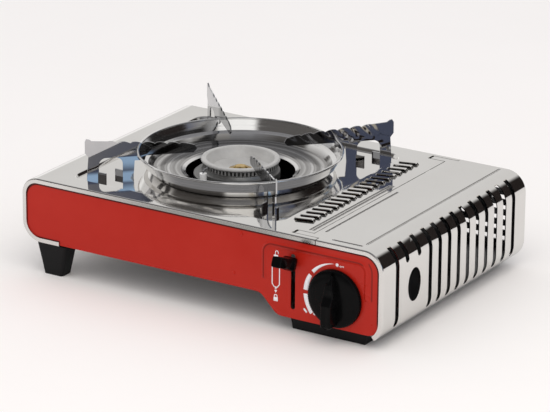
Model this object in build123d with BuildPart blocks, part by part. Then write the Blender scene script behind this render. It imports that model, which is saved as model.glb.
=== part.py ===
# Portable gas stove with a side bay for a gas cartridge, a lift-off pan support and a
# lock lever. Millimetres, +Z up, front toward -Y, origin on the table under the middle.
import os
from math import atan2, cos, degrees, hypot, radians, sin, sqrt

from build123d import *

os.makedirs("parts", exist_ok=True)

# Case
LENGTH = 345.0
DEPTH = 235.0
TOP_Z = 82.4
SHEET = 0.8
RIM = 4.0
BEND_R = 1.1
LEFT_UNDER_Z = 27.0
BAY_UNDER_Z = 11.6
TOP_LEFT_R = 15.0
LOW_LEFT_R = 18.0
WRAP_LIP = 36.5
PANEL_INSET = 1.2
PANEL_SIDE = 1.6
PAN_SIDE = 24.0
STEP_START = 42.5
STEP_END = 26.5
STEP_R = 10.0
PANEL_BAY_R = 14.0

# Cartridge lid and its hinge
BAY_WIDTH = 71.0
SEAM_GAP = 0.7
JOG = 8.5
JOG_DEPTH = 4.9
LID_TOP_R = 18.0
LID_LOW_R = 19.6
LID_TURN_Z = 14.9
LID_LOW_Z = 8.9
LID_LIP = 7.4
LID_SLOT_W = 5.5
LID_SLOT_INSET = 9.4
LID_SLOT_LOW_Z = 14.8
LID_SLOT_FRONT = 74.6
LID_SLOT_BACK = 21.8
LID_SLOT_COUNT = 10
HINGE_SET = 13.0
BARREL_R = 2.0
PIN_R = 1.0
RUN_CLEARANCE = 0.05
TONGUE_W = 6.6

# Pan recess and louvres in the top plate
RECESS_SIDES = 71.5
RECESS_ENDS = 37.0
RECESS_DEPTH = 2.4
RECESS_R = 12.0
RECESS_EDGE_R = 1.3
LOUVRE_COUNT = 19
LOUVRE_PITCH = 9.2
LOUVRE_SET = 22.0
LOUVRE_LENGTH = 18.3
LOUVRE_WIDTH = 5.6
LOUVRE_RISE = 1.9
LOUVRE_TURN = 14.0
MOUTH_LENGTH = 15.6
MOUTH_DEPTH = 3.0
MOUTH_RISE = 1.3
MOUTH_SET = 1.5

# Burner and pan support
BURNER_OFFSET_X = 0.5
BURNER_OFFSET_Y = 2.0
DISH_H = 16.0
FIN_INSET = 6.369
FIN_RISE = 17.3
FIN_GAP = 1.2
FIN_SHEET = 1.2
TOOTH_PITCH = 10.3
TOOTH_COUNT = 6
PORT_COUNT = 60

# Controls on the front
LEVER_REACH = 26.0
LEVER_SET = 12.0
LEVER_TILT = 20.5
LEVER_SWING = 45.0
PIVOT_BACK = 35.0
PIVOT_Z = 45.0
CRANK = 11.0
KNOB_SET = 43.4
KNOB_Z = 37.3
KNOB_R = 24.1
BAY_AXIS_SET = 38.0
BAY_AXIS_Z = 46.5

# Derived positions
LEFT = -LENGTH / 2
RIGHT = LENGTH / 2
FRONT = LEVER_REACH - (DEPTH + LEVER_REACH) / 2
BACK = FRONT + DEPTH
MID_Y = (FRONT + BACK) / 2
WRAP_LIP_X = LEFT + WRAP_LIP
SEAM_X = RIGHT - BAY_WIDTH
JOG_X = SEAM_X + JOG
STEP_START_X = SEAM_X - STEP_START
STEP_END_X = SEAM_X - STEP_END
LID_LIP_X = RIGHT - LID_LIP
LID_SLOT_TOP_X = RIGHT - LID_SLOT_INSET
LID_SLOT_PITCH = (DEPTH - LID_SLOT_FRONT - LID_SLOT_BACK) / (LID_SLOT_COUNT - 1)
HINGE_X = SEAM_X - HINGE_SET
RECESS_X = SEAM_X - LEFT - RECESS_SIDES
RECESS_Y = DEPTH - RECESS_ENDS
LOUVRE_X = SEAM_X - LOUVRE_SET
BURNER_X = (LEFT + SEAM_X) / 2 + BURNER_OFFSET_X
BURNER_Y = MID_Y + BURNER_OFFSET_Y
FLOOR_Z = TOP_Z - RECESS_DEPTH
FIN_REACH = (min(RECESS_X, RECESS_Y) / 2 - FIN_INSET) * sqrt(2)
PAN = FIN_REACH / 131.0
DISH_RIM_R = 85.0 * PAN
DISH_RIM_Z = FLOOR_Z + DISH_H
BLADE_LOW = DISH_RIM_Z + FIN_GAP
FIN_TOP_Z = BLADE_LOW + FIN_RISE
BURNER_HOLE_R = 54.0 * PAN
LEVER_X = SEAM_X - LEVER_SET
KNOB_X = RIGHT - KNOB_SET
BAY_AXIS_X = RIGHT - BAY_AXIS_SET
PANEL_FACE = FRONT + PANEL_INSET
PANEL_BACK = PANEL_FACE + SHEET
REAR_FACE = BACK - PANEL_INSET
REAR_INNER = REAR_FACE - SHEET
PAN_LEFT_Z = LEFT_UNDER_Z + SHEET
PAN_TOP_LEFT = PAN_LEFT_Z + SHEET
PAN_TOP_BAY = BAY_UNDER_Z + SHEET
PARTITION_X = SEAM_X - 4.3
HINGE_Z = TOP_Z - BARREL_R
TONGUE_Y = DEPTH / 2 - JOG_DEPTH - SEAM_GAP - TONGUE_W / 2
PIVOT_Y = FRONT + PIVOT_BACK


def xz(y):
    """Upright sketch plane at depth y with local axes X and Z; negative extrusion goes back."""
    return Plane((0, y, 0), x_dir=(1, 0, 0), z_dir=(0, -1, 0))


def yz(x):
    """Upright sketch plane at x with local axes Y and Z; positive extrusion goes right."""
    return Plane((x, 0, 0), x_dir=(0, 1, 0), z_dir=(1, 0, 0))


def band(points, radii, width, side=Side.RIGHT):
    """Strip of sheet seen edge-on: a rounded path given a width on one side."""
    with BuildSketch() as strip:
        with BuildLine():
            FilletPolyline(*points, radius=radii)
            offset(amount=width, side=side)
        make_face()
    return strip.sketch


def panel_outline():
    """Upright end panel shape, inside the rims, with the lower step toward the bay."""
    left = LEFT + PANEL_SIDE
    right = RIGHT - PANEL_SIDE
    low_left = LEFT_UNDER_Z + 0.9
    low_bay = BAY_UNDER_Z
    with BuildSketch() as outline:
        with BuildLine():
            FilletPolyline(
                (left, low_left),
                (STEP_START_X, low_left),
                (STEP_END_X, low_bay),
                (right, low_bay),
                (right, TOP_Z - 1.2),
                (left, TOP_Z - 1.2),
                radius=(LOW_LEFT_R - 1, STEP_R, STEP_R, PANEL_BAY_R, LID_TOP_R - 1, TOP_LEFT_R - 1),
                close=True,
            )
        make_face()
    return outline.sketch


def spun(*points):
    """Profile points whose radii are for the stove's usual pan support and follow its size."""
    return [(radius * PAN, height) for radius, height in points]


def bend_edges(shape, y, flats, radii):
    """Outer edges at depth y where the sheet turns down into its rim."""
    found = ShapeList()
    for edge in shape.edges():
        middle = edge.center()
        if abs(middle.Y - y) > 0.01:
            continue
        if edge.geom_type == GeomType.CIRCLE:
            if min(abs(edge.radius - radius) for radius in radii) < 0.01:
                found.append(edge)
        elif min(abs(middle.X - flats[0]), abs(middle.Z - flats[1]), abs(middle.Z - flats[2])) < 0.01:
            found.append(edge)
    return found


# Top plate carried round the left end, with turned rims, recess, louvres and hinge notches
wrap_path = ((WRAP_LIP_X, LEFT_UNDER_Z), (LEFT, LEFT_UNDER_Z), (LEFT, TOP_Z), (JOG_X, TOP_Z))
wrap_radii = (LOW_LEFT_R, TOP_LEFT_R)
with BuildPart() as case_wrap:
    with BuildSketch(xz(FRONT)):
        add(band(wrap_path, wrap_radii, SHEET))
    extrude(amount=-DEPTH)
    for rim_y in (FRONT, BACK - SHEET):
        with BuildSketch(xz(rim_y)):
            add(band(wrap_path, wrap_radii, RIM))
        extrude(amount=-SHEET)
    for rim_y in (FRONT, BACK):
        fillet(bend_edges(case_wrap, rim_y, (LEFT, LEFT_UNDER_Z, TOP_Z), wrap_radii), BEND_R)
    with BuildSketch(Plane.XY.offset(TOP_Z)):
        with Locations(((SEAM_X + JOG_X) / 2, MID_Y)):
            Rectangle(JOG_X - SEAM_X, DEPTH - 2 * JOG_DEPTH)
    extrude(amount=-2 * SHEET, mode=Mode.SUBTRACT)
    with BuildSketch(Plane.XY.offset(TOP_Z)):
        with Locations((BURNER_X - 0.75, MID_Y)):
            RectangleRounded(RECESS_X + 2 * SHEET, RECESS_Y + 2 * SHEET, RECESS_R + SHEET)
    extrude(amount=-RECESS_DEPTH - SHEET)
    with BuildSketch(Plane.XY.offset(TOP_Z)):
        with Locations((BURNER_X - 0.75, MID_Y)):
            RectangleRounded(RECESS_X, RECESS_Y, RECESS_R)
    extrude(amount=-RECESS_DEPTH, taper=35, mode=Mode.SUBTRACT)
    plate = case_wrap.faces().filter_by(Axis.Z).sort_by(Axis.Z)[-1]
    fillet(plate.inner_wires()[0].edges(), RECESS_EDGE_R)
    with BuildSketch(Plane.XY.offset(TOP_Z)):
        with Locations((BURNER_X, BURNER_Y)):
            Circle(BURNER_HOLE_R)
    extrude(amount=-RECESS_DEPTH - 2 * SHEET, mode=Mode.SUBTRACT)
    with BuildSketch(Plane.XY.offset(TOP_Z)):
        with Locations((LOUVRE_X, MID_Y)):
            with GridLocations(0, LOUVRE_PITCH, 1, LOUVRE_COUNT):
                SlotOverall(LOUVRE_LENGTH, LOUVRE_WIDTH, rotation=LOUVRE_TURN)
    extrude(amount=LOUVRE_RISE, taper=30)
    mouth_x = LOUVRE_X + MOUTH_SET * sin(radians(LOUVRE_TURN))
    mouth_y = MID_Y - MOUTH_SET * cos(radians(LOUVRE_TURN))
    with BuildSketch(Plane.XY.offset(TOP_Z - 2 * SHEET)):
        with Locations((mouth_x, mouth_y)):
            with GridLocations(0, LOUVRE_PITCH, 1, LOUVRE_COUNT):
                Rectangle(MOUTH_LENGTH, MOUTH_DEPTH, rotation=LOUVRE_TURN)
    extrude(amount=2 * SHEET + MOUTH_RISE, mode=Mode.SUBTRACT)
    with BuildSketch(Plane.XY.offset(TOP_Z)):
        for side in (-1, 1):
            with Locations(((HINGE_X - BARREL_R - 1.0 + SEAM_X) / 2, MID_Y + side * TONGUE_Y)):
                Rectangle(SEAM_X - HINGE_X + BARREL_R + 1.0, TONGUE_W + 2 * SEAM_GAP)
    extrude(amount=-2 * SHEET, mode=Mode.SUBTRACT)
    with BuildSketch(Plane.XY.offset(TOP_Z)):
        for groove_x in (SEAM_X - 6.9, SEAM_X - 3.9):
            with Locations((groove_x, MID_Y - 36.5)):
                SlotOverall(DEPTH - 108, 1.6, rotation=90)
    extrude(amount=-0.35, taper=50, mode=Mode.SUBTRACT)
case_wrap.part.label = "case_wrap"
export_step(case_wrap.part, "parts/case_wrap.step")

# Bottom pan with the step down to the bay and turned-up front and rear flanges
pan_path = (
    (LEFT + PAN_SIDE, PAN_LEFT_Z),
    (STEP_START_X, PAN_LEFT_Z),
    (STEP_END_X, BAY_UNDER_Z),
    (LID_LIP_X - 1, BAY_UNDER_Z),
)
with BuildPart() as base_pan:
    with BuildSketch(xz(PANEL_BACK)):
        add(band(pan_path, (STEP_R, STEP_R), SHEET, Side.LEFT))
    extrude(amount=-(REAR_INNER - PANEL_BACK))
    for flange_y in (PANEL_BACK, REAR_INNER - SHEET):
        with BuildSketch(xz(flange_y)):
            add(band(pan_path, (STEP_R, STEP_R), 8.0, Side.LEFT))
        extrude(amount=-SHEET)
base_pan.part.label = "base_pan"
export_step(base_pan.part, "parts/base_pan.step")

# Painted front with the raised arch round the controls
ARCH_LEFT = SEAM_X - 41.4
ARCH_RIGHT = RIGHT - 13.2
ARCH_TOP = TOP_Z - 9.3
ARCH_LOW = 40.0
with BuildPart() as front_panel:
    with BuildSketch(xz(PANEL_FACE)):
        add(panel_outline())
    extrude(amount=-SHEET)
    with BuildSketch(xz(PANEL_FACE)):
        arch = ((ARCH_LEFT, ARCH_LOW), (ARCH_LEFT, ARCH_TOP), (ARCH_RIGHT, ARCH_TOP), (ARCH_RIGHT, ARCH_LOW))
        add(band(arch, (10.0, 10.0), 4.6))
    extrude(amount=0.9, taper=60)
    with BuildSketch(xz(PANEL_FACE)):
        with Locations((SEAM_X - 60.5, TOP_Z - 8.8), (SEAM_X - 67.5, 39.0)):
            Circle(1.6)
    extrude(amount=0.6, taper=30)
    with BuildSketch(xz(PANEL_FACE)):
        with Locations((LEVER_X, 42.6)):
            SlotOverall(46.8, 4.2, rotation=90)
        with Locations((KNOB_X, KNOB_Z)):
            Circle(4.5)
    extrude(amount=-2 * SHEET, mode=Mode.SUBTRACT)
front_panel.part.label = "front_panel"
export_step(front_panel.part, "parts/front_panel.step")

# Rear panel with rows of air slots behind the bay and the burner
with BuildPart() as rear_panel:
    with BuildSketch(xz(REAR_INNER)):
        add(panel_outline())
    extrude(amount=-SHEET)
    with BuildSketch(xz(REAR_INNER)):
        with Locations((BAY_AXIS_X, 44)):
            with GridLocations(0, 9, 1, 6):
                SlotOverall(44, 3.6)
        with Locations((BURNER_X, 60.5)):
            with GridLocations(46, 9, 4, 2):
                SlotOverall(34, 3.6)
    extrude(amount=-SHEET, mode=Mode.SUBTRACT)
rear_panel.part.label = "rear_panel"
export_step(rear_panel.part, "parts/rear_panel.step")

# Upright wall between the burner side and the cartridge bay
PIPE_Y = FRONT + 22.5
PIPE_Z = TOP_Z - 16.9
LEAD_Y = FRONT + 42.0
LEAD_Z = 35.0
BAR_LOW = 49.0
BAR_HIGH = 60.4
HOOK_Y = REAR_INNER - 9.0
SLIDE = 2 * CRANK * sin(radians(LEVER_SWING / 2))
GUIDE_Y = (MID_Y - 43.0, MID_Y + 62.0)
with BuildPart() as partition:
    wall_front = PANEL_BACK + SHEET
    wall_back = REAR_INNER - SHEET
    wall_mid = (wall_front + wall_back) / 2
    with BuildSketch(yz(PARTITION_X)):
        with Locations((wall_mid, (PAN_TOP_BAY + TOP_Z - SHEET) / 2)):
            Rectangle(wall_back - wall_front, TOP_Z - SHEET - PAN_TOP_BAY)
    extrude(amount=SHEET)
    with BuildSketch(Plane.XY.offset(PAN_TOP_BAY)):
        with Locations((PARTITION_X - 4.5, wall_mid)):
            Rectangle(10.6, wall_back - wall_front)
    extrude(amount=SHEET)
    with BuildSketch(yz(PARTITION_X)):
        with Locations((PIPE_Y, PIPE_Z)):
            Circle(3.5)
        with Locations((LEAD_Y, LEAD_Z)):
            Circle(2.0)
        with Locations((PIVOT_Y, PIVOT_Z)):
            Circle(2.5)
        with Locations(*[(guide, (BAR_LOW + BAR_HIGH) / 2) for guide in GUIDE_Y]):
            Circle(2.0)
        with Locations((HOOK_Y - SLIDE / 2 + 0.75, (BAR_LOW + BAR_HIGH) / 2)):
            Rectangle(SLIDE + 4.5, BAR_HIGH - BAR_LOW + 2)
    extrude(amount=SHEET, mode=Mode.SUBTRACT)
    with BuildSketch(Plane.XY.offset(TOP_Z - 7)):
        for notch_y in (MID_Y - TONGUE_Y, MID_Y + TONGUE_Y):
            with Locations((PARTITION_X + SHEET / 2, notch_y)):
                Rectangle(4, TONGUE_W + 4)
    extrude(amount=8, mode=Mode.SUBTRACT)
partition.part.label = "partition"
export_step(partition.part, "parts/partition.step")

# Cartridge lid: bent cover with slots, finger hole, turned rims and two hinge tongues
lid_path = ((SEAM_X + SEAM_GAP, TOP_Z), (RIGHT, TOP_Z), (RIGHT, LID_TURN_Z), (LID_LIP_X, LID_LOW_Z))
lid_rim_path = ((JOG_X + SEAM_GAP, TOP_Z),) + lid_path[1:]
lid_radii = (LID_TOP_R, LID_LOW_R)
slot_top = TOP_Z + 10
short_low = TOP_Z - 17.9
short_mid = (short_low + slot_top) / 2
long_mid = (LID_SLOT_LOW_Z + slot_top) / 2
with BuildPart() as lid:
    with BuildSketch(xz(FRONT)):
        add(band(lid_path, lid_radii, SHEET))
    extrude(amount=-DEPTH)
    for rim_y in (FRONT, BACK - SHEET):
        with BuildSketch(xz(rim_y)):
            add(band(lid_rim_path, lid_radii, RIM))
        extrude(amount=-SHEET)
    with BuildSketch(Plane.XY.offset(TOP_Z)):
        jog_cut = JOG_DEPTH + SEAM_GAP
        for y in (FRONT + jog_cut / 2, BACK - jog_cut / 2):
            with Locations(((SEAM_X + JOG_X + SEAM_GAP) / 2, y)):
                Rectangle(JOG_X + SEAM_GAP - SEAM_X, jog_cut)
    extrude(amount=-2 * SHEET, mode=Mode.SUBTRACT)
    for rim_y in (FRONT, BACK):
        fillet(bend_edges(lid, rim_y, (RIGHT, LID_LOW_Z, TOP_Z), lid_radii), BEND_R)
    with BuildSketch(yz(LID_SLOT_TOP_X)):
        with Locations((MID_Y + (LID_SLOT_FRONT - LID_SLOT_BACK) / 2, long_mid)):
            with GridLocations(LID_SLOT_PITCH, 0, LID_SLOT_COUNT, 1):
                SlotOverall(slot_top - LID_SLOT_LOW_Z, LID_SLOT_W, rotation=90)
        with Locations((FRONT + 22.3, long_mid)):
            SlotOverall(slot_top - LID_SLOT_LOW_Z, LID_SLOT_W, rotation=90)
        with Locations((FRONT + 38.1, short_mid), (FRONT + 56.9, short_mid)):
            SlotOverall(slot_top - short_low, LID_SLOT_W, rotation=90)
        with Locations((FRONT + 49.3, 42.7)):
            Ellipse(10.0, 14.0)
    extrude(amount=RIGHT - LID_SLOT_TOP_X + 5, mode=Mode.SUBTRACT)
    with BuildSketch(Plane.XY.offset(TOP_Z)):
        with Locations((RIGHT - 22.9, MID_Y + 4)):
            SlotOverall(DEPTH - 17, 2.2, rotation=90)
        with Locations((RIGHT - 37.5, FRONT + 7.9)):
            SlotOverall(28, 2.2)
        with Locations((SEAM_X + 6.2, MID_Y - 40.5)):
            SlotOverall(DEPTH - 122, 1.4, rotation=90)
    extrude(amount=-0.35, taper=50, mode=Mode.SUBTRACT)
    with BuildSketch(Plane.XY.offset(TOP_Z)):
        for side in (-1, 1):
            with Locations(((HINGE_X + SEAM_X + 1) / 2, MID_Y + side * TONGUE_Y)):
                Rectangle(SEAM_X + 1 - HINGE_X, TONGUE_W)
    extrude(amount=-SHEET)
    for side in (-1, 1):
        with BuildSketch(xz(MID_Y + side * TONGUE_Y - TONGUE_W / 2)):
            with Locations((HINGE_X, HINGE_Z)):
                Circle(BARREL_R)
        extrude(amount=-TONGUE_W)
        with BuildSketch(xz(MID_Y + side * TONGUE_Y - TONGUE_W / 2)):
            with Locations((HINGE_X, HINGE_Z)):
                Circle(PIN_R + RUN_CLEARANCE)
        extrude(amount=-TONGUE_W, mode=Mode.SUBTRACT)
lid.part.label = "lid"
export_step(lid.part, "parts/lid.step")

# Hinge brackets under the top plate, one pair of ears to each tongue, and their pins
EAR = 1.2
EAR_GAP = TONGUE_W + 2 * SEAM_GAP
with BuildPart() as hinge_brackets:
    for side in (-1, 1):
        for ear in (-1, 1):
            ear_y = MID_Y + side * TONGUE_Y + ear * (EAR_GAP / 2 + EAR / 2) - EAR / 2
            with BuildSketch(xz(ear_y)):
                with Locations((HINGE_X, TOP_Z - SHEET - 4)):
                    Rectangle(9, 8)
                with Locations((HINGE_X, HINGE_Z)):
                    Circle(PIN_R, mode=Mode.SUBTRACT)
            extrude(amount=-EAR)
        with BuildSketch(Plane.XY.offset(TOP_Z - SHEET - 8)):
            with Locations((HINGE_X, MID_Y + side * TONGUE_Y)):
                Rectangle(9, EAR_GAP + 2 * EAR)
        extrude(amount=EAR)
hinge_brackets.part.label = "hinge_brackets"
export_step(hinge_brackets.part, "parts/hinge_brackets.step")

with BuildPart() as hinge_pins:
    for side in (-1, 1):
        with BuildSketch(xz(MID_Y + side * TONGUE_Y - EAR_GAP / 2 - EAR)):
            with Locations((HINGE_X, HINGE_Z)):
                Circle(PIN_R)
        extrude(amount=-(EAR_GAP + 2 * EAR))
hinge_pins.part.label = "hinge_pins"
export_step(hinge_pins.part, "parts/hinge_pins.step")

# Feet: tapered blocks on the left, low bars under the bay
FOOT_INSET = 8.5
BLOCK_MID_X = LEFT + 28.3
BLOCK_SET = 9.6
BAR_MID_X = RIGHT - 53.9
foot_rows = (
    ("front", FRONT + FOOT_INSET, FRONT + BLOCK_SET),
    ("rear", BACK - FOOT_INSET - 16.0, BACK - BLOCK_SET),
)
for row, near, block_y in foot_rows:
    with BuildPart() as foot_left:
        with BuildSketch(Plane.XY.offset(LEFT_UNDER_Z)):
            with Locations((BLOCK_MID_X, block_y)):
                RectangleRounded(29.6, 18, 3)
        with BuildSketch(Plane.XY):
            with Locations((BLOCK_MID_X, block_y)):
                RectangleRounded(18.2, 13.6, 2.5)
        loft()
        with BuildSketch(Plane.XY):
            with Locations((BLOCK_MID_X, block_y)):
                Circle(3.2)
        extrude(amount=8, mode=Mode.SUBTRACT)
    foot_left.part.label = f"foot_{row}_left"
    export_step(foot_left.part, f"parts/foot_{row}_left.step")
    with BuildPart() as foot_right:
        with BuildSketch(xz(near)):
            with Locations((BAR_MID_X, BAY_UNDER_Z / 2)):
                Trapezoid(71, BAY_UNDER_Z, 80, align=(Align.CENTER, Align.CENTER), rotation=180)
        extrude(amount=-16)
        with BuildSketch(Plane.XY):
            with Locations((BAR_MID_X - 18, near + 8), (BAR_MID_X + 18, near + 8)):
                Circle(3.2)
        extrude(amount=6, mode=Mode.SUBTRACT)
    foot_right.part.label = f"foot_{row}_right"
    export_step(foot_right.part, f"parts/foot_{row}_right.step")

# Pan-head screws sunk in the feet
with BuildPart() as foot_screws:
    for row, near, block_y in foot_rows:
        for screw_x, screw_y, head_z in (
            (BLOCK_MID_X, block_y, 8.0),
            (BAR_MID_X - 18, near + 8, 6.0),
            (BAR_MID_X + 18, near + 8, 6.0),
        ):
            with BuildSketch(Plane.XY.offset(head_z)):
                with Locations((screw_x, screw_y)):
                    Circle(3.0)
                    Rectangle(4.2, 0.9, mode=Mode.SUBTRACT)
            extrude(amount=-2.2)
            with BuildSketch(Plane.XY.offset(head_z)):
                with Locations((screw_x, screw_y)):
                    Circle(3.0)
            extrude(amount=-1.2)
foot_screws.part.label = "foot_screws"
export_step(foot_screws.part, "parts/foot_screws.step")

# Burner stand: strap from the pan up to the burner cup
STAND_TOP = FLOOR_Z - 26.8
strap_path = (
    (BURNER_X - 56, PAN_TOP_LEFT),
    (BURNER_X - 40, PAN_TOP_LEFT),
    (BURNER_X - 24, STAND_TOP - 1.2),
    (BURNER_X + 24, STAND_TOP - 1.2),
    (BURNER_X + 40, PAN_TOP_LEFT),
    (BURNER_X + 56, PAN_TOP_LEFT),
)
with BuildPart() as burner_stand:
    with BuildSketch(xz(BURNER_Y - 14)):
        add(band(strap_path, (3.0, 3.0, 3.0, 3.0), 1.2, Side.LEFT))
    extrude(amount=-28)
burner_stand.part.label = "burner_stand"
export_step(burner_stand.part, "parts/burner_stand.step")

# Burner cup with side inlet, spark lug and the shoulder for the head
INLET_Z = PIPE_Z
JET_X = SEAM_X - 37.5
JET_Y = FRONT + 75.5
INLET_RUN = hypot(JET_X - BURNER_X, JET_Y - BURNER_Y)
INLET_DIR = ((JET_X - BURNER_X) / INLET_RUN, (JET_Y - BURNER_Y) / INLET_RUN, 0)
inlet_plane = Plane((BURNER_X, BURNER_Y, INLET_Z), x_dir=(0, 0, 1), z_dir=INLET_DIR)
TUBE_R = 8.0
CUP_R = 18.0 * PAN
SPARK_X = BURNER_X - 13.0 * PAN
SPARK_Y = BURNER_Y - 37.0 * PAN
SLEEVE_R = 3.0
SPARK_TURN = degrees(atan2(SPARK_Y - BURNER_Y, SPARK_X - BURNER_X))
floor_plane = Plane((BURNER_X, BURNER_Y, FLOOR_Z), x_dir=(1, 0, 0), z_dir=(0, -1, 0))
burner_axis = Axis((BURNER_X, BURNER_Y, 0), (0, 0, 1))
CUP_LOW = STAND_TOP - FLOOR_Z
with BuildPart() as burner_base:
    with BuildSketch(floor_plane):
        with BuildLine():
            Polyline(
                *spun(
                    (0, CUP_LOW), (18, CUP_LOW), (18, -12), (31, -8.6), (33, -7), (33, -0.6), (32, 0.4),
                    (31, 2.7), (28, 2.7), (28, -2), (15, -7), (15, CUP_LOW + 3.3), (0, CUP_LOW + 3.3),
                ),
                close=True,
            )
        make_face()
    revolve(axis=burner_axis)
    with BuildSketch(inlet_plane.offset(CUP_R - 2)):
        Circle(TUBE_R + 2.2)
    extrude(amount=22)
    with BuildSketch(inlet_plane.offset(CUP_R - 8)):
        Circle(TUBE_R - 1.2)
    extrude(amount=8, mode=Mode.SUBTRACT)
    with BuildSketch(inlet_plane.offset(CUP_R)):
        Circle(TUBE_R)
    extrude(amount=22, mode=Mode.SUBTRACT)
    with BuildSketch(Plane.XY.offset(FLOOR_Z - 7)):
        with Locations(Location((SPARK_X, SPARK_Y), SPARK_TURN)):
            SlotCenterToCenter(12, 11)
    extrude(amount=3)
    with BuildSketch(Plane.XY.offset(FLOOR_Z - 6.4)):
        with Locations((BURNER_X, BURNER_Y)):
            Circle(39 * PAN)
            Circle(31 * PAN, mode=Mode.SUBTRACT)
        with Locations((BURNER_X + 26 * PAN, BURNER_Y)):
            Rectangle(80 * PAN, 90 * PAN, mode=Mode.SUBTRACT)
    extrude(amount=3)
    with BuildSketch(Plane.XY.offset(FLOOR_Z - 8)):
        with Locations((SPARK_X, SPARK_Y)):
            Circle(SLEEVE_R)
    extrude(amount=12, mode=Mode.SUBTRACT)
burner_base.part.label = "burner_base"
export_step(burner_base.part, "parts/burner_base.step")

# Burner head: ring with a band of flame ports fed by a channel round a deep bowl
with BuildPart() as burner_ring:
    with BuildSketch(floor_plane):
        with BuildLine():
            Polyline(
                *spun(
                    (8, -3), (8, -1.2), (18, -0.4), (23.5, 1.8), (26.4, 6), (28.2, 9.4), (28.8, 10), (32.2, 10),
                    (33, 9.2), (33, 8.2), (31.5, 7.2), (31.5, 3.4), (31, 2.7), (29.4, 2.7), (29.4, 7.6),
                    (28.6, 7.6), (27.6, 5.4), (25, 1.2), (18.5, -2.2),
                ),
                close=True,
            )
        make_face()
    revolve(axis=burner_axis)
    with BuildSketch(Plane.XY.offset(FLOOR_Z + 3.6)):
        with Locations((BURNER_X, BURNER_Y)):
            with PolarLocations(31.2 * PAN, PORT_COUNT):
                Rectangle(5, 1.7)
    extrude(amount=3.4, mode=Mode.SUBTRACT)
burner_ring.part.label = "burner_ring"
export_step(burner_ring.part, "parts/burner_ring.step")

# Brass centre of the burner
with BuildPart() as burner_cap:
    with BuildSketch(floor_plane):
        with BuildLine():
            Polyline(
                *spun(
                    (0, -5), (8, -5), (8, -1.2), (10, -1), (10, -0.1), (7, 0.5), (5.6, 2.1), (4, 2.7), (0, 2.7),
                ),
                close=True,
            )
        make_face()
    revolve(axis=burner_axis)
    with BuildSketch(Plane.XY.offset(FLOOR_Z + 0.9)):
        with Locations((BURNER_X, BURNER_Y)):
            with PolarLocations(5.2 * PAN, 6):
                Circle(0.9)
    extrude(amount=4, mode=Mode.SUBTRACT)
burner_cap.part.label = "burner_cap"
export_step(burner_cap.part, "parts/burner_cap.step")

# Screws from the stand up into the cup
with BuildPart() as burner_screws:
    with BuildSketch(Plane.XY.offset(STAND_TOP - 1.2)):
        with Locations((BURNER_X - 9, BURNER_Y), (BURNER_X + 9, BURNER_Y)):
            Circle(3.4)
    extrude(amount=-2.2)
burner_screws.part.label = "burner_screws"
export_step(burner_screws.part, "parts/burner_screws.step")

# Mixing tube with a flared mouth, from the jet to the cup
with BuildPart() as mixing_tube:
    with BuildSketch(inlet_plane.offset(CUP_R)):
        Circle(TUBE_R)
        Circle(TUBE_R - 1.2, mode=Mode.SUBTRACT)
    extrude(amount=INLET_RUN - CUP_R - 12)
    with BuildSketch(inlet_plane.offset(INLET_RUN - 12)):
        Circle(TUBE_R + 2.5)
        Circle(TUBE_R - 1.2, mode=Mode.SUBTRACT)
    extrude(amount=2.0)
mixing_tube.part.label = "mixing_tube"
export_step(mixing_tube.part, "parts/mixing_tube.step")

# Gas pipe from the regulator, through the wall, to the jet
PIPE_R = 3.0
PIPE_TURN_X = SEAM_X - 19.5
PIEZO_WIDE = 11.0
PIEZO_ROOM = 3.0
REGULATOR_LEFT = PARTITION_X + SHEET + PIEZO_ROOM + PIEZO_WIDE
REGULATOR_RIGHT = RIGHT - 20.5
jet_back = (PIPE_TURN_X - JET_X) / INLET_DIR[0]
pipe_path = (
    (REGULATOR_LEFT - 2, PIPE_Y, PIPE_Z),
    (PIPE_TURN_X, PIPE_Y, PIPE_Z),
    (PIPE_TURN_X, JET_Y + jet_back * INLET_DIR[1], PIPE_Z),
    (JET_X, JET_Y, PIPE_Z),
)
with BuildPart() as gas_pipe:
    with BuildLine() as pipe_line:
        FilletPolyline(*pipe_path, radius=7.0)
    with BuildSketch(Plane(pipe_path[0], z_dir=(-1, 0, 0))):
        Circle(PIPE_R)
    sweep(path=pipe_line.wires()[0])
gas_pipe.part.label = "gas_pipe"
export_step(gas_pipe.part, "parts/gas_pipe.step")

# Brass jet on the end of the pipe, blowing into the mixing tube
jet_plane = Plane((JET_X, JET_Y, PIPE_Z), x_dir=(0, 0, 1), z_dir=tuple(-part for part in INLET_DIR))
with BuildPart() as jet:
    with BuildSketch(jet_plane):
        RegularPolygon(5.0, 6)
    extrude(amount=6)
    with BuildSketch(jet_plane.offset(6)):
        Circle(3.0)
    extrude(amount=5, taper=12)
jet.part.label = "jet"
export_step(jet.part, "parts/jet.step")

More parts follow.
